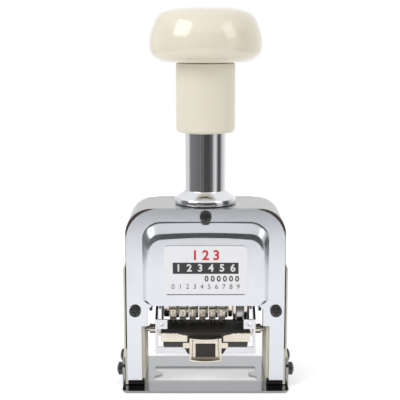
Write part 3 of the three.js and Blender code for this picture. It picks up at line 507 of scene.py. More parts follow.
# Each metal: name, slot, colour, shade, roughness, grain's stretch, scale and depth, spread of roughness
FINISHES = {
    "sleeve": Metal("polished_sleeve", "bright_chrome", (0.83, 0.84, 0.86), (0.78, 0.79, 0.81), 0.07,
                    (1, 1, 0.1), 700.0, 2e-6, 0.03),
    # The plate's and the strap's seams carry painted shade for the gap between them.
    "plate": Metal("satin_plate", "satin_chrome", (0.7, 0.72, 0.75), (0.64, 0.66, 0.69), 0.2,
                   (1, 1, 0.12), 1500.0, 4e-6, 0.07, seam=(15.55 * MM, 15.4 * MM)),
    "strap": Metal("satin_strap", "satin_chrome", (0.5, 0.505, 0.515), (0.42, 0.425, 0.435), 0.28,
                   (1, 0.08, 1), 1800.0, 6e-6, 0.08, seam=(14.4 * MM, 14.55 * MM)),
    "nickel": Metal("warm_nickel", "warm_nickel", (0.8, 0.74, 0.65), (0.68, 0.61, 0.52), 0.24,
                    (0.3, 1, 1), 1600.0, 6e-6, 0.1),
    "steel": Metal("plain_steel", "plain_steel", (0.56, 0.56, 0.57), (0.44, 0.43, 0.42), 0.32,
                   (1, 1, 1), 1700.0, 8e-6, 0.1),
    "brass": Metal("shoe_brass", "shoe_brass", (0.74, 0.58, 0.32), (0.6, 0.45, 0.23), 0.3,
                   (1, 1, 0.1), 1500.0, 6e-6, 0.1),
    # The base's front is darkened as painted shade, for a darker reflection.
    "base": Metal("brushed_base", "bright_chrome", (0.47, 0.48, 0.49), (0.38, 0.385, 0.4), 0.13,
                  (0.12, 1, 1), 1500.0, 4e-6, 0.06, front_shade=(-7.0 * MM, -13.0 * MM)),
    "arm": Metal("plated_arm", "bright_chrome", (0.73, 0.74, 0.76), (0.62, 0.63, 0.65), 0.2,
                 (1, 1, 0.2), 1300.0, 5e-6, 0.08),
    # Painted shade: plain steel darkened, for the carriage yoke and the cheek ends, which sit in shade.
    "dark": Metal("shade_painted_steel", "plain_steel", (0.2, 0.21, 0.235), (0.12, 0.125, 0.14), 0.28,
                  (1, 1, 0.3), 1500.0, 6e-6, 0.1),
    "gloss": Plastic("cream_gloss", "cream_gloss", (0.83, 0.77, 0.62), (0.81, 0.75, 0.6), 0.2, 0.7),
    "satin": Plastic("cream_satin", "cream_satin", (0.83, 0.78, 0.64), (0.8, 0.75, 0.61), 0.42, 0.1),
    "red": Plastic("red_print", "label_white", (0.72, 0.03, 0.035), (0.66, 0.025, 0.03), 0.35),
    "white": Plastic("white_print", "label_white", (0.85, 0.85, 0.86), (0.8, 0.8, 0.81), 0.35),
    "print": Plastic("black_print", "label_white", (0.03, 0.03, 0.03), (0.05, 0.05, 0.05), 0.35),
    "block": BlockPlastic("cream_block", "cream_satin", (0.8, 0.76, 0.62), (0.76, 0.72, 0.58)),
    "wheel": InkAndShadeNickel("inked_wheel", *NICKEL, Stain.WHEEL),
    "tray": InkAndShadeNickel("inked_tray", *NICKEL, Stain.TRAY),
    "tab": InkAndShadeNickel("tab_ink_and_shade", *NICKEL, Stain.TAB),
    "spring": InkAndShadeNickel("inked_spring", *NICKEL, Stain.SPRING),
    "black": BlackOxide("black_oxide", "black_oxide", (0.03, 0.03, 0.032), (0.085, 0.08, 0.075)),
    "felt": InkFelt("ink_felt", "ink_felt", (0.014, 0.013, 0.012), (0.06, 0.053, 0.046)),
    "label": LabelPrint("label_print", "label_white", (0.87, 0.87, 0.88), (0.84, 0.84, 0.85)),
}


class Finishes(SimpleNamespace):
    """Each finish of the table by its key, as its material and its record slot."""

    def __init__(self) -> None:
        """Makes every material once."""
        super().__init__(**{key: (finish.material(), finish.slot) for key, finish in FINISHES.items()})


# Mesh making

def new_object(name: str, data: bpy.types.ID) -> Object:
    """Links a mesh, curve, light or camera to the scene under a name."""
    made = bpy.data.objects.new(name, data)
    bpy.context.scene.collection.objects.link(made)
    return made


def object_of(name: str, shape: bmesh.types.BMesh) -> Object:
    """Writes a bmesh to a new object and frees it.

    Args:
        name: the object's name.
        shape: the bmesh.

    Returns:
        The object.
    """
    mesh = bpy.data.meshes.new(name)
    shape.to_mesh(mesh)
    shape.free()
    return new_object(name, mesh)


def applied(made: Object) -> Object:
    """Turns an object with modifiers, or a curve, into one with a plain mesh.

    Args:
        made: the object; it is removed.

    Returns:
        The object with the plain mesh.
    """
    graph = bpy.context.evaluated_depsgraph_get()
    mesh = bpy.data.meshes.new_from_object(made.evaluated_get(graph))
    name = made.name
    bpy.data.objects.remove(made)
    return new_object(name, mesh)


def smooth(made: Object, angle: float) -> Object:
    """Shades smooth, with edges past the angle kept sharp."""
    made.data.polygons.foreach_set("use_smooth", [True] * len(made.data.polygons))
    made.data.set_sharp_from_angle(angle=math.radians(angle))
    return made


def rounded_edges(made: Object, width: float, segments: int = 2, angle: float = 32.0) -> Object:
    """Rounds the sharp edges and smooths the rest.

    Args:
        made: the object.
        width: the rounding's width in metres.
        segments: its steps.
        angle: edges sharper than this are rounded.

    Returns:
        The finished object.
    """
    bevel = smooth(made, angle).modifiers.new("edges", "BEVEL")
    bevel.width = width
    bevel.segments = segments
    bevel.limit_method = "ANGLE"
    bevel.angle_limit = math.radians(angle)
    bevel.mark_sharp = False
    flat = made.modifiers.new("flat faces", "WEIGHTED_NORMAL")
    flat.mode = "FACE_AREA"
    flat.weight = 80
    flat.keep_sharp = False
    return applied(made)


def revolve(profile: Sequence[Point], sharp: float = 50.0, sides: int = 128) -> Object:
    """Turns a closed profile about the Z axis.

    Args:
        profile: (radius, height) points in metres, all round the section.
        sharp: edges past this angle stay sharp.
        sides: steps in a turn.

    Returns:
        The object.
    """
    shape = bmesh.new()
    turns = [math.tau * i / sides for i in range(sides)]
    rings = []
    for radius, height in profile:
        around = turns[:1] if radius < WELD else turns
        rings.append([shape.verts.new((radius * math.cos(a), radius * math.sin(a), height)) for a in around])
    for first, second in zip(rings, rings[1:] + rings[:1]):
        if len(first) == len(second) == 1:
            continue
        for i in range(sides):
            j = (i + 1) % sides
            corners = [ring[k % len(ring)] for ring, k in ((first, i), (first, j), (second, j), (second, i))]
            shape.faces.new(list(dict.fromkeys(corners)))
    bmesh.ops.recalc_face_normals(shape, faces=shape.faces)
    return smooth(object_of("turned", shape), sharp)


def arc(centre: Point, radius: float, start: float, end: float, steps: int) -> list[Point]:
    """Points on an arc, angles in degrees."""
    angles = [math.radians(start + (end - start) * i / steps) for i in range(steps + 1)]
    return [(centre[0] + radius * math.cos(a), centre[1] + radius * math.sin(a)) for a in angles]


def smooth_line(points: Sequence[Point], steps: int) -> list[Point]:
    """A Catmull-Rom curve through points.

    Args:
        points: the points to pass.
        steps: points made for each stretch.

    Returns:
        The curve's points.
    """
    def between(p: float, q: float, r: float, s: float, t: float) -> float:
        """One coordinate between q and r."""
        return 0.5 * (
            2 * q + (r - p) * t + (2 * p - 5 * q + 4 * r - s) * t * t + (3 * q - p - 3 * r + s) * t ** 3)

    ends = [points[0], *points, points[-1]]
    stretches = zip(ends, ends[1:], ends[2:], ends[3:])
    line = [tuple(between(*c, i / steps) for c in zip(*four)) for four in stretches for i in range(steps)]
    return [*line, tuple(points[-1])]


def loft(rings: Sequence[Sequence[Triple]]) -> Object:
    """A solid through rings of points, closed at both ends.

    Args:
        rings: as many points in each ring, in the same order.

    Returns:
        The object.
    """
    shape = bmesh.new()
    rows = [[shape.verts.new(point) for point in ring] for ring in rings]
    shape.faces.new(rows[0])
    shape.faces.new(rows[-1])
    for first, second in zip(rows, rows[1:]):
        for i in range(len(first)):
            j = (i + 1) % len(first)
            shape.faces.new((first[i], first[j], second[j], second[i]))
    bmesh.ops.recalc_face_normals(shape, faces=shape.faces)
    return object_of("solid", shape)


def prism(outline: Sequence[Point], axis: Axis, start: float, end: float) -> Object:
    """An outline pushed along one axis.

    Args:
        outline: points in the other two axes, in order of the letters.
        axis: the direction of the push.
        start: where it starts.
        end: where it ends.

    Returns:
        The object.
    """
    return loft([[tuple((u, v, w)[i] for i in axis.value) for u, v in outline] for w in (start, end)])


def rod(axis: Axis, centre: Point, start: float, end: float, radius: float, sides: int) -> Object:
    """A round bar along an axis."""
    return prism(arc(centre, radius, 0, 360 - 360 / sides, sides - 1), axis, start, end)


def combined(base: Object, others: Iterable[Object], operation: str) -> Object:
    """Joins solids to the first one, or cuts them out of it.

    Args:
        base: the first solid.
        others: the rest; they are removed.
        operation: UNION, DIFFERENCE or INTERSECT.

    Returns:
        The result.
    """
    others = list(others)
    for other in others:
        step = base.modifiers.new("solid", "BOOLEAN")
        step.operation = operation
        step.solver = "MANIFOLD"
        step.object = other
    made = applied(base)
    for other in others:
        bpy.data.objects.remove(other)
    return made


def welded(made: Object, flat: bool = False) -> Object:
    """Merges the doubled corners that solid sums leave.

    Args:
        made: the object.
        flat: merges flat neighbours too, where the faces already point outwards.

    Returns:
        The same object.
    """
    shape = bmesh.new()
    shape.from_mesh(made.data)
    bmesh.ops.remove_doubles(shape, verts=shape.verts, dist=WELD)
    if flat:
        bmesh.ops.dissolve_limit(shape, angle_limit=math.radians(0.3), verts=shape.verts, edges=shape.edges)
    else:
        bmesh.ops.recalc_face_normals(shape, faces=shape.faces)
    shape.to_mesh(made.data)
    shape.free()
    return made


def sheet_metal(made: Object, edge: float) -> Object:
    """Cleans a cut and bent sheet and rounds its rims."""
    return rounded_edges(welded(made, True), edge, 3, SHEET_ANGLE)


def arch(half: float, top: float, radius: float, bottom: float, steps: int) -> list[Point]:
    """A square foot and round shoulders, as an outline."""
    right = arc((half - radius, top - radius), radius, 0, 90, steps)
    left = arc((radius - half, top - radius), radius, 90, 180, steps)
    return [(-half, bottom), (half, bottom), *right, *left]


def slab(low: Point, high: Point, radius: float, steps: int = 10) -> list[Point]:
    """A rectangle with round corners, as an outline.

    Args:
        low: its lower left corner.
        high: its upper right corner.
        radius: the corners' radius.
        steps: steps in a corner.

    Returns:
        The outline.
    """
    near, far = [v + radius for v in low], [v - radius for v in high]
    corners = ((far[0], near[1]), (far[0], far[1]), (near[0], far[1]), (near[0], near[1]))
    starts = (-90, 0, 90, 180)
    return [p for c, start in zip(corners, starts) for p in arc(c, radius, start, start + 90, steps)]


def mirrored(side: Sequence[Point]) -> list[Point]:
    """An outline's right half and its mirror image on the left, in order round it."""
    return [*side, *[(-x, z) for x, z in reversed(side)]]


# Patterns

class Pattern(Tree):
    """A Geometry Nodes tree with named sizes that ends in Realize Instances and Set Material."""

    def __init__(self, name: str, sizes: dict[str, float]) -> None:
        """Starts a tree.

        Args:
            name: the tree's name.
            sizes: its named inputs and what they are set to.
        """
        super().__init__(bpy.data.node_groups.new(name, "GeometryNodeTree"))
        face = self.tree.interface
        face.new_socket("Geometry", in_out="INPUT", socket_type="NodeSocketGeometry")
        self.sizes = {
            face.new_socket(key, in_out="INPUT", socket_type="NodeSocketFloat").identifier: size
            for key, size in sizes.items()
        }
        face.new_socket("Geometry", in_out="OUTPUT", socket_type="NodeSocketGeometry")
        self.given = self.node("NodeGroupInput")

    def size(self, name: str) -> Value:
        """One of the named inputs."""
        return self.given.output(name)

    def vector(self, x: object = 0.0, y: object = 0.0, z: object = 0.0) -> Value:
        """A vector from three values or numbers."""
        return self.node("ShaderNodeCombineXYZ", {0: x, 1: y, 2: z})

    def moved(self, shape: Value, place: object = (0, 0, 0), turn: Triple = (0, 0, 0)) -> Value:
        """A shape moved and turned."""
        inputs = {"Geometry": shape, "Translation": place, "Rotation": turn}
        return self.node("GeometryNodeTransform", inputs)

    def made(
        self, copy: Value, points: Sequence[Triple], facing: Sequence[Triple], material: bpy.types.Material,
    ) -> Object:
        """Sets a copy on each point, turned to face outwards, and returns them as one plain mesh.

        Args:
            copy: the shape to repeat.
            points: where the copies go.
            facing: the direction of each copy's Z.
            material: the finish.

        Returns:
            The object.
        """
        way = self.node("GeometryNodeInputNamedAttribute", {"Name": "facing"}, data_type="FLOAT_VECTOR")
        turn = self.node("FunctionNodeAlignRotationToVector", {"Vector": way}, axis="Z")
        limits = {2: 0.0, 3: self.size("Spin"), "Seed": 7}
        angle = self.vector(z=self.node("FunctionNodeRandomValue", limits, 1, data_type="FLOAT"))
        spin = self.node("FunctionNodeEulerToRotation", {0: angle})
        spun = self.node("FunctionNodeRotateRotation", {0: turn, 1: spin}, rotation_space="LOCAL")
        inputs = {"Points": self.size("Geometry"), "Instance": copy, "Rotation": spun}
        real = self.node("GeometryNodeRealizeInstances", {
            0: self.node("GeometryNodeInstanceOnPoints", inputs),
        })
        dressed = self.node("GeometryNodeSetMaterial", {"Geometry": real, "Material": material})
        self.node("NodeGroupOutput", {"Geometry": dressed})
        mesh = bpy.data.meshes.new("points")
        mesh.from_pydata([tuple(p) for p in points], [], [])
        stored = mesh.attributes.new("facing", "FLOAT_VECTOR", "POINT")
        for held, direction in zip(stored.data, facing):
            held.vector = direction
        made = new_object("pattern", mesh)
        step = made.modifiers.new("pattern", "NODES")
        step.node_group = self.tree
        for identifier, size in self.sizes.items():
            step[identifier] = size
        return applied(made)


# Sub-assemblies

@dataclass
class Assembly:
    """A group of pieces and the finishes that they take."""

    finishes: Finishes

    def settle(self, made: Object, finish: str, body: str, *nodes: str, name: str = "") -> Object:
        """Names and dresses a piece, rides it on its body and hides the CAD nodes that it stands for.

        Args:
            made: the piece.
            finish: the finish's key.
            body: the CAD body.
            *nodes: the CAD nodes that it replaces.
            name: its name, where that isn't the node's.

        Returns:
            The piece.
        """
        material, slot = getattr(self.finishes, finish)
        made.name = name or f"{nodes[0]}_dressed"
        made.data.materials.clear()
        made.data.materials.append(material)
        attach(made, body)
        if nodes:
            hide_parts(*nodes)
        LOG.info("%s rides on %s, %d faces", made.name, body, len(made.data.polygons))
        return made

    def dress(
        self, node: str, finish: str, body: str, width: float = 0.12 * MM, angle: float = 32.0,
    ) -> Object:
        """Settles a finely edged copy of a CAD node.

        Args:
            node: the node's name.
            finish: the finish's key.
            body: the CAD body.
            width: the rounding's width in metres.
            angle: edges sharper than this are rounded.

        Returns:
            The piece.
        """
        shape = bmesh.new()
        shape.from_mesh(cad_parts[node].data)
        bmesh.ops.remove_doubles(shape, verts=shape.verts, dist=2 * WELD)
        bmesh.ops.dissolve_limit(shape, angle_limit=math.radians(0.5), verts=shape.verts, edges=shape.edges)
        return self.settle(rounded_edges(object_of("copy", shape), width, 2, angle), finish, body, node)


@dataclass
class PalmGrip(Assembly):
    """The palm knob and the skirt below it, turned from fine profiles."""

    rim: float = 1.6 * MM
    lip: float = 0.5 * MM
    wall: float = 3.45 * MM
    bore: float = 3.4 * MM
    socket_gap: float = 0.3 * MM
    knob_shares: tuple[Point, ...] = (
        (0.0, 1.0), (0.2, 0.9995), (0.4, 0.995), (0.6, 0.972), (0.76, 0.916), (0.86, 0.823), (0.925, 0.69),
        (0.975, 0.54), (1.0, 0.38), (0.99, 0.24), (0.93, 0.115), (0.82, 0.032), (0.72, 0.006),
    )

    def knob(self) -> None:
        """The knob with a flat underside round its socket."""
        low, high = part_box("palm_knob")
        radius, height = high[0], high[2] - low[2]
        side = smooth_line([(radius * r, low[2] + height * z) for r, z in self.knob_shares], 6)
        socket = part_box("plunger_rod")[1][2] + self.socket_gap
        profile = [*side, (self.bore, low[2]), (self.bore, socket), (0.0, socket)]
        self.settle(revolve(profile), "gloss", "plunger", "palm_knob")

    def skirt(self) -> None:
        """The skirt with a rounded lower rim and a small lip at its top."""
        low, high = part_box("knob_skirt")
        outer = high[0]
        inner = outer - self.wall
        rim, lip = self.rim, self.lip
        profile = [
            *arc((inner + lip, low[2] + lip), lip, 180, 270, 6),
            *arc((outer - rim, low[2] + rim), rim, -90, 0, 14),
            *arc((outer - lip, high[2] - lip), lip, 0, 90, 6),
            (inner, high[2]),
        ]
        self.settle(revolve(profile), "satin", "plunger", "knob_skirt")

    def build(self) -> None:
        """Makes both pieces."""
        self.knob()
        self.skirt()


@dataclass
class SleevePost(Assembly):
    """The chrome guide sleeve with its cone and rounded flange."""

    wall: float = 1.3 * MM
    bore: float = 3.5 * MM
    radius: float = 8.45 * MM
    spigot: float = 6.6 * MM
    floor_rise: float = 3.8 * MM
    foot_rise: float = 0.3 * MM
    rim: float = 1.2 * MM
    cone_radius: float = 11.6 * MM
    cone_foot: float = 3.2 * MM
    cone_top: float = 5.7 * MM
    soft: float = 0.3 * MM
    bend: float = 0.5 * MM
    bend_rise: float = 0.2 * MM
    sharp: float = 28.0
    shoulder: tuple[Point, Point] = ((0.1 * MM, 0.75 * MM), (0.5 * MM, -0.45 * MM))

    def build(self) -> None:
        """The sleeve as one turned piece with soft edges."""
        low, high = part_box("guide_sleeve")
        flange, inner = high[0], self.radius - self.wall
        frame_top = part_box("frame_strap")[1][2]
        foot, floor = frame_top + self.foot_rise, frame_top + self.floor_rise
        cone_foot, soft, bend = frame_top + self.cone_foot, self.soft, self.bend
        tilt = math.degrees(math.atan2(self.cone_radius - self.radius, self.cone_top - self.cone_foot))
        waist = (self.radius + bend, frame_top + self.cone_top + self.bend_rise)
        upper, lower = self.shoulder
        rim = frame_top + self.rim
        shoulder = smooth_line([
            (flange, rim), (flange - upper[0], rim + upper[1]), (flange - lower[0], cone_foot + lower[1]),
            (self.cone_radius, cone_foot),
        ], 6)
        profile = [
            (self.bore, low[2]), (self.spigot, low[2]), (self.spigot, foot), (flange - soft, foot),
            *arc((flange - soft, foot + soft), soft, -90, 0, 5), *shoulder,
            *arc(waist, bend, 180 + 90 - tilt, 180, 6),
            *arc((self.radius - soft, high[2] - soft), soft, 0, 90, 5),
            (inner, high[2]), (inner, floor), (self.bore, floor),
        ]
        self.settle(revolve(profile, self.sharp), "sleeve", "frame", "guide_sleeve")


@dataclass
class StampedPlates(Assembly):
    """The front plate with its pressed panel, and the plain back plate."""

    half_width: float = 32.6 * MM
    shoulder: float = 13.0 * MM
    sheet: float = 1.0 * MM
    inner: float = 15.0 * MM
    leg_inner: float = 26.5 * MM
    ear_inner: float = 23.9 * MM
    ear_bottom: float = 27.0 * MM
    opening_top: float = 36.4 * MM
    chamfer: float = 2.4 * MM
    hole: float = 1.15 * MM
    side_hole: Point = (29.1 * MM, 33.6 * MM)
    top_hole_drop: float = 3.1 * MM
    reach: float = 1.0 * MM
    foot_half: float = 26.2 * MM
    face_half: float = 23.0 * MM
    foot_drop: float = 5.0 * MM
    slope: float = 7.2 * MM
    rise: float = 2.5 * MM
    foot_radius: float = 8.0 * MM
    face_radius: float = 5.5 * MM
    bow: float = 0.9 * MM
    bow_steps: int = 12
    corner_cut: float = 2.0 * MM
    edge: float = 0.2 * MM
    hollow_start: float = 2.0 * MM
    slope_shares: tuple[Point, ...] = (
        (0.0, 0.0), (0.05, 0.009), (0.12, 0.06), (0.3, 0.313), (0.5, 0.594), (0.62, 0.763), (0.68, 0.832),
        (0.76, 0.888), (0.86, 0.945), (0.93, 0.98), (1.0, 1.0),
    )

    def outline(self) -> list[Point]:
        """The plate's outline with its legs, ears and opening, as [x, z].

        Returns:
            The outline.
        """
        low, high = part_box("front_plate")
        bottom, half = low[2], self.half_width
        shoulders = arch(half, high[2], self.shoulder, bottom, 28)[2:]
        leg, ear, opening = -self.leg_inner, -self.ear_inner, self.opening_top
        left = [
            (leg, bottom), (leg, self.ear_bottom), (ear, self.ear_bottom), (ear, opening - self.chamfer),
            (ear + self.chamfer, opening),
        ]
        return [(half, bottom), *shoulders, (-half, bottom), *mirrored(left)]

    def sheet_part(self, start: float, end: float) -> Object:
        """The flat sheet with its screw holes.

        Args:
            start: its front face's Y.
            end: its back face's Y.

        Returns:
            The sheet.
        """
        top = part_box("front_plate")[1][2] - self.top_hole_drop
        x, z = self.side_hole
        start_cut, end_cut = start - self.reach, end + self.reach
        holes = [rod(Axis.Y, p, start_cut, end_cut, self.hole, 32) for p in ((0.0, top), (x, z), (-x, z))]
        return combined(prism(self.outline(), Axis.Y, start, end), holes, "DIFFERENCE")

    def panel_ring(self, share: float, inset: float, depth: float) -> list[Triple]:
        """One outline of the pressed panel, from its foot to its face.

        Args:
            share: 0 at the foot, 1 at the face.
            inset: how far the outline lies inside the outer one.
            depth: its Y.

        Returns:
            The ring.
        """
        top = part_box("front_plate")[1][2]
        half = self.foot_half + (self.face_half - self.foot_half) * share - inset
        crest = top - self.foot_drop - self.slope * share - inset
        radius = self.foot_radius + (self.face_radius - self.foot_radius) * share - inset / 2
        bottom = self.opening_top - (self.reach if inset else 0.0)
        flat = half - radius
        shares = [1 - i / self.bow_steps for i in range(1, self.bow_steps)]
        bow = [(flat * s, crest + self.bow * share * (1 - s ** 2)) for s in shares]
        corner = arc((flat, crest - radius), radius, 0, 90, 20)
        right = [(half - self.corner_cut, bottom), (half, bottom + self.corner_cut), *corner, *bow]
        ring = [*right, (0.0, crest + self.bow * share), *[(-x, z) for x, z in reversed(right)]]
        return [(x, depth, z) for x, z in ring]

    def front(self) -> None:
        """The front plate."""
        foot = -self.inner - self.sheet
        face = foot - self.rise
        shares = smooth_line(self.slope_shares, 3)

        def pressed(inset: float, start: float) -> Object:
            """The panel's solid, inset by the sheet for its hollow, from a start behind the flank."""
            flank = [self.panel_ring(s, inset, foot + (face - foot) * d + inset) for s, d in shares]
            return loft([self.panel_ring(0.0, inset, start), *flank])

        made = combined(self.sheet_part(foot, -self.inner), [pressed(0.0, foot + self.sheet / 2)], "UNION")
        made = combined(made, [pressed(self.sheet, self.hollow_start - self.inner)], "DIFFERENCE")
        self.settle(sheet_metal(made, self.edge), "plate", "frame", "front_plate")

    def build(self) -> None:
        """Makes both plates."""
        self.front()
        back = self.sheet_part(self.inner, self.inner + self.sheet)
        self.settle(sheet_metal(back, self.edge), "plate", "frame", "back_plate")


@dataclass
class StrapAndBlocks(Assembly):
    """The bent strap, the cream side blocks and the bridge between the plates."""

    radius: float = 10.5 * MM
    sheet: float = 1.2 * MM
    hole: float = 6.75 * MM
    edge: float = 0.3 * MM
    block_edge: float = 0.22 * MM
    bridge_edge: float = 0.2 * MM
    reach: float = 2.0 * MM

    def strap(self) -> None:
        """The strap with rounded rims and the sleeve's hole."""
        low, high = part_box("frame_strap")
        half, deep, top = high
        sheet, reach, radius = self.sheet, self.reach, self.radius
        outside = prism(arch(half, top, radius, low[2], 32), Axis.Y, -deep, deep)
        hollow = arch(half - sheet, top - sheet, radius - sheet, low[2] - reach, 32)
        inside = prism(hollow, Axis.Y, -deep - reach, deep + reach)
        bore = rod(Axis.Z, (0.0, 0.0), top - sheet - reach, top + reach, self.hole, 64)
        made = combined(outside, [inside, bore], "DIFFERENCE")
        self.settle(sheet_metal(made, self.edge), "strap", "frame", "frame_strap")

    def build(self) -> None:
        """Makes the strap, the blocks and the bridge."""
        self.strap()
        for node in ("side_block_left", "side_block_right"):
            self.dress(node, "block", "frame", self.block_edge)
        self.dress("top_bridge", "steel", "frame", self.bridge_edge)


@dataclass
class BasePlate(Assembly):
    """The folded base with its window, pointers and ears."""

    sheet: float = 1.0 * MM
    ear_top: float = 12.8 * MM
    ear_front: float = -14.6 * MM
    ear_back: float = 13.4 * MM
    ear_radius: float = 5.0 * MM
    corner: float = 3.2 * MM
    window: Triple = (22.0 * MM, -9.2 * MM, 8.2 * MM)
    pointer: Triple = (18.7 * MM, 3.6 * MM, 1.3 * MM)
    tip_share: float = 0.4
    hole: float = 1.65 * MM
    hole_height: float = 6.4 * MM
    hole_places: Point = (-9.2 * MM, 8.2 * MM)
    edge: float = 0.2 * MM
    bevel: float = 0.05 * MM
    reach: float = 2.0 * MM

    def window_ring(self, grown: float, height: float) -> list[Triple]:
        """The window's outline with its pointers.

        Args:
            grown: how much wider it is than at the bottom.
            height: its Z.

        Returns:
            The ring.
        """
        edge_x, near, far = self.window
        tip_x, foot, tip = self.pointer
        middle = (near + far) / 2
        tip_x, edge_x, less = tip_x + grown, edge_x + grown, grown * self.tip_share
        right = [
            (edge_x, near - grown), (edge_x, middle - foot + grown), (tip_x, middle - tip + less),
            (tip_x, middle + tip - less), (edge_x, middle + foot - grown), (edge_x, far + grown),
        ]
        return [(x, y, height) for x, y in mirrored(right)]

    def build(self) -> None:
        """The base as one bent sheet."""
        low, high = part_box("base_plate")
        half, front, back = high[0], low[1], high[1]
        sheet, reach, fold, radius = self.sheet, self.reach, self.sheet * 2, self.ear_radius
        section = prism(slab((-half, 0.0), (half, self.ear_top + fold), fold, 12), Axis.Y, front, back)
        inside = slab((-half + sheet, sheet), (half - sheet, self.ear_top + fold * 3), sheet, 12)
        trough = prism(inside, Axis.Y, front - reach, back + reach)
        side = [
            (front, -reach), (back, -reach), (back, sheet), (self.ear_back, sheet),
            *arc((self.ear_back - radius, self.ear_top - radius), radius, 0, 90, 16),
            *arc((self.ear_front + radius, self.ear_top - radius), radius, 90, 180, 16),
            (self.ear_front, sheet), (front, sheet),
        ]
        wide = (-half - reach, half + reach)
        trimmed = prism(side, Axis.X, *wide)
        plan = slab((-half, front), (half, back), self.corner, 12)
        made = combined(section, [trough], "DIFFERENCE")
        made = combined(made, [trimmed, prism(plan, Axis.Z, -reach, self.ear_top + reach)], "INTERSECT")
        levels = ((0.0, -reach), (0.0, sheet - self.bevel), (self.bevel, sheet), (self.bevel, sheet + reach))
        opening = loft([self.window_ring(*level) for level in levels])
        holes = [rod(Axis.X, (y, self.hole_height), *wide, self.hole, 32) for y in self.hole_places]
        made = combined(made, [opening, *holes], "DIFFERENCE")
        self.settle(sheet_metal(made, self.edge), "base", "frame", "base_plate")


@dataclass
class LabelPlate(Assembly):
    """The label's bare plate with its generic print."""

    radius: float = 1.8 * MM
    edge: float = 0.1 * MM
    boldness: float = 0.03
    bold_from: float = 3.0 * MM
    proud: float = 0.02 * MM
    prints: tuple[tuple[str, str, float, float, float], ...] = (
        ("red", "1 2 3", 5.6 * MM, 0.0, 0.805),
        ("white", "1  2  3  4  5  6", 4.2 * MM, 0.0, 0.55),
        ("small", "0 0 0 0 0 0", 3.2 * MM, 6.6 * MM, 0.33),
        ("foot", "0  1  2  3  4  5  6  7  8  9", 2.8 * MM, 0.0, 0.17),
    )

    def build(self) -> None:
        """The plate with round corners and softened edges, and its rows of figures."""
        low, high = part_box("label_plate")
        outline = slab((low[0], low[2]), (high[0], high[2]), self.radius, 14)
        made = rounded_edges(prism(outline, Axis.Y, low[1], high[1]), self.edge, 2, SHEET_ANGLE)
        for row, words, size, x, share in self.prints:
            self.figures(row, words, size, (x, low[1], low[2] + (high[2] - low[2]) * share))
        self.settle(made, "label", "frame", "label_plate")

    def figures(self, row: str, words: str, size: float, middle: Triple) -> None:
        """A row of plain figures, printed a hair proud of the label.

        Args:
            row: the row's name; its finish has the same name or is the black print.
            words: the figures.
            size: the font's size in metres.
            middle: the middle of the row.
        """
        curve = bpy.data.curves.new(row, "FONT")
        curve.body = words
        curve.size = size
        curve.align_x = "CENTER"
        curve.align_y = "CENTER"
        curve.offset = size * self.boldness if size > self.bold_from else 0.0
        curve.extrude = self.proud
        made = applied(new_object(row, curve))
        for vertex in made.data.vertices:
            u, v, w = vertex.co
            vertex.co = (middle[0] + u, middle[1] - w, middle[2] + v)
        finish = row if hasattr(self.finishes, row) else "print"
        self.settle(welded(made), finish, "frame", name=f"label_{row}_figures")


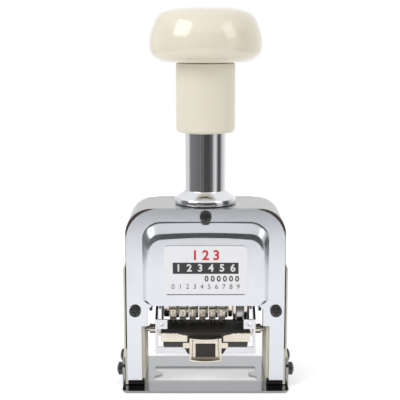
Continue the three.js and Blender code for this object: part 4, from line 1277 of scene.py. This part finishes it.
@dataclass
class Fasteners(Assembly):
    """Every black pan-head screw of the frame, with a cross recess."""

    plate_head: Point = (2.4 * MM, 1.7 * MM)
    plate_shank: Point = (1.0 * MM, 6.0 * MM)
    ear_head: Point = (2.75 * MM, 2.5 * MM)
    ear_shank: Point = (1.5 * MM, 5.0 * MM)
    crown: float = 0.34
    crown_from: float = 0.3
    recess_width: float = 0.3
    recess_reach: float = 1.15
    recess_depth: float = 0.5
    shank_sunk: float = 0.49
    sharp: float = 35.0
    sides: int = 48
    rings: int = 6

    def screw(self, pattern: Pattern) -> Value:
        """One screw along Z with its head's underside at the origin.

        Args:
            pattern: the tree with the screw's sizes.

        Returns:
            The solid.
        """
        def solid(operation: str, inputs: dict) -> Value:
            """Joins solids or cuts one out."""
            return pattern.node("GeometryNodeMeshBoolean", inputs, operation=operation, solver="MANIFOLD")

        def disc(inputs: dict) -> Value:
            """A round bar along Z about its middle."""
            return pattern.node("GeometryNodeMeshCylinder", inputs, fill_type="NGON")

        radius, height, length = (pattern.size(key) for key in ("Head Radius", "Head Height", "Shank Length"))
        plain = disc({
            "Vertices": self.sides, "Side Segments": 2, "Fill Segments": self.rings, "Radius": radius,
            "Depth": height,
        })
        x = pattern.node("ShaderNodeSeparateXYZ", {0: pattern.node("GeometryNodeInputPosition")})
        flat = pattern.vector(x, x.output(1))
        reach = pattern.node("ShaderNodeVectorMath", {0: flat}, "Value", operation="LENGTH")
        share = (reach / radius).apply("POWER", 2.0)
        drop = share * (x.output(2) > height * self.crown_from) * pattern.size("Crown")
        offset = pattern.vector(z=drop * -1.0)
        domed = pattern.node("GeometryNodeSetPosition", {"Geometry": plain, "Offset": offset})
        width, long = pattern.size("Recess Width"), pattern.size("Recess Reach")
        depth = pattern.size("Recess Depth") * 2.0
        bars = [
            pattern.moved(
                pattern.node("GeometryNodeMeshCube", {"Size": pattern.vector(*size, depth)}),
                pattern.vector(z=height))
            for size in ((width, long), (long, width))
        ]
        raised = pattern.moved(domed, pattern.vector(z=height * 0.5))
        head = solid("DIFFERENCE", {0: raised, 1: bars})
        shank = disc({"Vertices": self.sides // 2, "Radius": pattern.size("Shank Radius"), "Depth": length})
        sunk = pattern.moved(shank, pattern.vector(z=length * -self.shank_sunk))
        return solid("UNION", {1: [head, sunk]})

    def screws(self, name: str, head: Point, shank: Point, nodes: Sequence[str], axis: int) -> None:
        """One mesh with every screw of a kind.

        Args:
            name: the piece's name.
            head: the head's radius and height.
            shank: the shank's radius and length.
            nodes: the CAD screws that it stands for.
            axis: 0 where the screws point along X, 1 along Y.
        """
        pattern = Pattern(name, {
            "Head Radius": head[0], "Recess Width": head[0] * self.recess_width,
            "Head Height": head[1], "Recess Reach": head[0] * self.recess_reach,
            "Shank Radius": shank[0], "Recess Depth": head[1] * self.recess_depth,
            "Shank Length": shank[1], "Crown": head[1] * self.crown, "Spin": math.pi / 2,
        })
        points, facing = [], []
        for node in nodes:
            low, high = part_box(node)
            point = [(a + b) / 2 for a, b in zip(low, high)]
            side = 1 if point[axis] > 0 else -1
            point[axis] = (high[axis] if side > 0 else low[axis]) - side * head[1]
            points.append(point)
            facing.append([side if i == axis else 0.0 for i in range(3)])
        made = welded(pattern.made(self.screw(pattern), points, facing, self.finishes.black[0]))
        self.settle(smooth(made, self.sharp), "black", "frame", *nodes, name=name)

    def build(self) -> None:
        """Makes the plate screws and the ear screws."""
        names = [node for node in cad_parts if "screw" in node]
        ear = [node for node in names if node.startswith("ear")]
        plate = [node for node in names if node not in ear]
        self.screws("plate_screws", self.plate_head, self.plate_shank, plate, 1)
        self.screws("ear_screws", self.ear_head, self.ear_shank, ear, 0)


@dataclass
class Carriage(Assembly):
    """What goes down with the knob: rod, carriage, axle, collars, detent comb and spring."""

    stroke: float = 24.1 * MM
    wire_edge: float = 0.04 * MM
    wire_angle: float = 60.0
    cheek: Point = (17.9 * MM, 18.8 * MM)
    cheek_depth: Point = (-2.9 * MM, 4.7 * MM)
    cheek_height: Point = (25.4 * MM, 33.0 * MM)
    cheek_radius: float = 1.6 * MM
    cheek_edge: float = 0.1 * MM
    # The carriage yoke takes the darkened steel, as painted shade.
    plan: tuple[tuple[str, str], ...] = (
        ("steel", "plunger_rod"), ("steel", "rod_nut"), ("dark", "carriage_yoke"), ("steel", "wheel_axle"),
        ("brass", "guide_shoe_left"), ("brass", "guide_shoe_right"), ("nickel", "collar_left"),
        ("nickel", "collar_right"), ("nickel", "repeat_disc"), ("nickel", "end_disc"),
        ("nickel", "detent_comb"),
    )

    def build(self) -> None:
        """Makes each piece of the carriage."""
        for finish, node in self.plan:
            self.dress(node, finish, "plunger")
        self.cheek_ends()
        self.spring()

    def cheek_ends(self) -> None:
        """The cheeks' lower ends beside the wheels, which the CAD rounds off higher up, in darkened steel as
        painted shade.
        """
        inner, outer = self.cheek
        outline = slab(*zip(self.cheek_depth, self.cheek_height), self.cheek_radius)
        for side, start in (("left", -outer), ("right", inner)):
            end = rounded_edges(prism(outline, Axis.X, start, start + outer - inner), self.cheek_edge)
            self.settle(end, "dark", "plunger", name=f"cheek_end_{side}")

    def spring(self) -> None:
        """The wound spring, which stands on the sleeve's floor and in the machine shortens as the knob goes
        down.
        """
        made = self.dress("return_spring", "steel", "frame", self.wire_edge, self.wire_angle)
        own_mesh(made)


@dataclass
class NumberWheels(Assembly):
    """The six number wheels with their raised figures, and the ribbed ratchet."""

    face: float = 8.69 * MM
    proud: float = 0.3 * MM
    figure: float = 4.9 * MM
    type_width: float = 2.8 * MM
    bottom_degrees: float = 180.0
    step_degrees: float = 36.0
    rib_edge: float = 0.05 * MM

    def raised(self, pattern: Pattern, words: str) -> Value:
        """One figure as a closed solid on its face, mirrored as type is.

        Args:
            pattern: the tree with the figure's sizes.
            words: the figure.

        Returns:
            The solid.
        """
        inputs = {"String": words, "Size": pattern.size("Figure")}
        curve = pattern.node("GeometryNodeStringToCurves", inputs, align_x="CENTER", align_y="MIDDLE")
        flat = pattern.node("GeometryNodeFillCurve", {
            0: pattern.node("GeometryNodeRealizeInstances", {0: curve}),
        })
        solid = pattern.node("GeometryNodeExtrudeMesh", {
            "Mesh": flat, "Offset Scale": pattern.size("Proud"), "Individual": False,
        })
        back = pattern.node("GeometryNodeFlipFaces", {0: flat})
        both = pattern.node("GeometryNodeJoinGeometry", {0: [solid, back]})
        closed = pattern.node("GeometryNodeMergeByDistance", {"Geometry": both, "Distance": WELD})
        turned = pattern.node("GeometryNodeTransform", {"Geometry": closed, "Scale": (-1.0, 1.0, 1.0)})
        outward = pattern.node("GeometryNodeFlipFaces", {0: turned})
        return pattern.moved(outward, pattern.vector(z=pattern.size("Face")))

    def figures(self, name: str, place: Triple, first: int) -> Object:
        """The ten raised figures of one wheel.

        Args:
            name: the pattern's name.
            place: the middle of the type blocks, on the axle.
            first: the figure that prints.

        Returns:
            The object.
        """
        pattern = Pattern(name, {"Face": self.face, "Proud": self.proud, "Figure": self.figure, "Spin": 0.0})
        rows = []
        for i in range(10):
            angle = math.radians(self.bottom_degrees + self.step_degrees * i)
            rows.append(pattern.moved(self.raised(pattern, str((first + i) % 10)), turn=(angle, 0.0, 0.0)))
        joined = pattern.node("GeometryNodeJoinGeometry", {0: rows})
        return pattern.made(joined, [place], [(0.0, 0.0, 1.0)], self.finishes.wheel[0])

    def build(self) -> None:
        """Makes each wheel."""
        for index in range(1, 7):
            node, body = f"number_wheel_{index}", f"wheel_{index}"
            low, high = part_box(node)
            place = (low[0] + self.type_width / 2, 0.0, (low[2] + high[2]) / 2)
            name = f"{node}_figures"
            self.settle(self.figures(name, place, index), "nickel", body, name=name)
            self.dress(node, "wheel", body)
        self.dress("repeat_ratchet", "steel", "repeat_wheel", self.rib_edge)


@dataclass
class InkGear(Assembly):
    """The ink yoke, the tray with its pad and tab, a black block under it as painted shade, and the pawl
    carrier.
    """

    underside: float = 2.3 * MM
    inset: float = 1.0 * MM
    plan: tuple[tuple[str, str, str], ...] = (
        ("arm", "yoke", "ink_yoke"), ("nickel", "yoke", "stud_collar_left"),
        ("nickel", "yoke", "stud_collar_right"), ("tray", "tray", "ink_tray"), ("felt", "tray", "felt_pad"),
        ("tab", "tray", "pull_tab"), ("spring", "tray", "tab_spring"), ("steel", "pawls", "pawl_carrier"),
    )

    def build(self) -> None:
        """Makes each piece."""
        for finish, body, node in self.plan:
            self.dress(node, finish, body)
        # Painted shade: a black block under the tray stands in for the shadow between the tray and the yoke's
        # bar.
        low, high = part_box("ink_tray")
        inset, wide = self.inset, high[0] - self.inset * 2
        outline = slab((-wide, low[2] - self.underside), (wide, low[2]), inset / 2, 6)
        made = rounded_edges(prism(outline, Axis.Y, low[1] + inset, high[1] - inset), inset / 5)
        self.settle(made, "black", "tray", name="tray_shade_block")


# Studio

@dataclass
class Studio:
    """The camera at the photograph's angle, the table, the lamps and the room.

    The room is what polished metal sees: degrees from the camera's direction, positive to the picture's
    right, and the walls' grey there.
    """

    camera_place: Triple = (-0.0023, -0.4, 0.1465)
    pitch_down: float = 9.81
    lens: float = 86.58
    sensor: float = 36.0
    middle: Triple = (0.0, 0.0, 0.1)
    table_front: float = -0.4
    table_side: float = 0.24
    table_back: float = 1.2
    table_glow: float = 0.34
    table_colour: Triple = (0.92, 0.92, 0.925)
    plain_colour: Triple = (0.72, 0.72, 0.73)
    ceiling_colour: Triple = (0.95, 0.95, 0.96)
    ceiling: Point = (0.4, 0.58)
    lamp_distance: float = 0.9
    lamps: tuple[tuple[str, float, float, Point, float], ...] = (
        ("left_softbox", -55, 35, (0.5, 0.42), 2.5), ("right_softbox", 54, 32, (0.34, 0.4), 0.8),
    )
    room: tuple[Point, ...] = (
        (-180, 1.0), (-152, 0.9), (-140, 0.68), (-122, 0.86), (-110, 0.7), (-101, 0.4), (-92, 0.22),
        (-56, 0.19), (-36, 0.15), (-29, 0.22), (-23, 0.12), (-12, 0.15), (-5, 0.07), (22, 0.07), (30, 0.12),
        (40, 0.16), (46, 0.62), (62, 0.78), (69, 0.3), (76, 0.09), (92, 0.1), (101, 0.45), (110, 0.64),
        (120, 0.74), (140, 0.95), (180, 1.0),
    )

    def camera(self) -> None:
        """Sets the scene's camera."""
        data = bpy.data.cameras.new("camera")
        data.sensor_width = self.sensor
        data.lens = self.lens
        made = new_object("camera", data)
        made.location = self.camera_place
        made.rotation_euler = (math.radians(90.0 - self.pitch_down), 0.0, 0.0)
        bpy.context.scene.camera = made

    def table(self) -> None:
        """A pale table that ends a short way in front of the machine."""
        side, front, back = self.table_side, self.table_front, self.table_back
        corners = [(-side, front, 0), (side, front, 0), (side, back, 0), (-side, back, 0)]
        mesh = bpy.data.meshes.new("table")
        mesh.from_pydata(corners, [], [(0, 1, 2, 3)])
        table = new_object("table", mesh)
        shader = Shader("table_white")
        ray = shader.node("ShaderNodeLightPath", output="Is Camera Ray")
        seen = ray.maximum(ray.output("Is Glossy Ray")).maximum(ray.output("Is Transmission Ray"))
        matt = shader.node("ShaderNodeBsdfDiffuse", {"Color": (*self.table_colour, 1.0)})
        glow = shader.node("ShaderNodeEmission", {"Color": (1, 1, 1, 1), "Strength": self.table_glow})
        both = shader.node("ShaderNodeAddShader", {0: matt, 1: glow})
        mixed = shader.node("ShaderNodeMixShader", {0: seen, 1: matt, 2: both})
        shader.node("ShaderNodeOutputMaterial", {"Surface": mixed})
        table.data.materials.append(shader.material)

    def lamp(self, name: str, azimuth: float, elevation: float, size: Point, power: float) -> None:
        """A softbox that faces the machine.

        Args:
            name: the lamp's name.
            azimuth: degrees from the camera's direction, positive to the picture's right.
            elevation: degrees above the table.
            size: width and height in metres.
            power: watts.
        """
        data = bpy.data.lights.new(name, "AREA")
        data.shape = "RECTANGLE"
        data.size, data.size_y = size
        data.energy = power
        made = new_object(name, data)
        a, e = math.radians(azimuth), math.radians(elevation)
        way = Vector((math.sin(a) * math.cos(e), -math.cos(a) * math.cos(e), math.sin(e)))
        offset = way * self.lamp_distance
        made.location = Vector(self.middle) + offset
        made.rotation_euler = (-offset).to_track_quat("-Z", "Y").to_euler()

    def world(self) -> None:
        """A white backdrop; polished metal sees a dim room on the camera's side, with a pale ceiling."""
        shader = Shader("studio", world=True)

        def background(colour: Triple | Value) -> Value:
            """An even or painted background."""
            given = (*colour, 1.0) if isinstance(colour, tuple) else colour
            return shader.node("ShaderNodeBackground", {0: given})

        def mix(factor: Value, first: Value, second: Value) -> Value:
            """The first background where the factor is 0, the second where it is 1."""
            return shader.node("ShaderNodeMixShader", {0: factor, 1: first, 2: second})

        way = shader.node("ShaderNodeTexCoord", output="Generated")
        x = shader.node("ShaderNodeSeparateXYZ", {0: way})
        turn = x.apply("ARCTAN2", 0.0 - x.output(1)) * (0.5 / math.pi) + 0.5
        stops = [(0.5 + angle / 360, grey) for angle, grey in self.room]
        walls = shader.node("ShaderNodeValToRGB", {0: turn}, stops=stops)
        ceiling = shader.step(x.output(2), *self.ceiling)
        room = background(shader.blend(ceiling, walls, self.ceiling_colour))
        ray = shader.node("ShaderNodeLightPath", output="Is Camera Ray")
        mirrors = ray.output("Is Glossy Ray").maximum(ray.output("Is Transmission Ray"))
        lit = mix(mirrors, background(self.plain_colour), room)
        shader.node("ShaderNodeOutputWorld", {"Surface": mix(ray, lit, background((1.0, 1.0, 1.0)))})
        bpy.context.scene.world = shader.material

    def build(self) -> None:
        """Sets up the whole studio."""
        bpy.context.scene.view_settings.view_transform = "Standard"
        self.camera()
        self.table()
        for lamp in self.lamps:
            self.lamp(*lamp)
        self.world()


def main() -> None:
    """Builds the studio and every sub-assembly in order."""
    logging.basicConfig(level=logging.INFO, format="%(name)s: %(message)s")
    Studio().build()
    finishes = Finishes()
    assemblies = (
        PalmGrip, SleevePost, StampedPlates, StrapAndBlocks, BasePlate, LabelPlate, Fasteners, Carriage,
        NumberWheels, InkGear,
    )
    for assembly in assemblies:
        assembly(finishes).build()


if __name__ == "__main__":
    main()
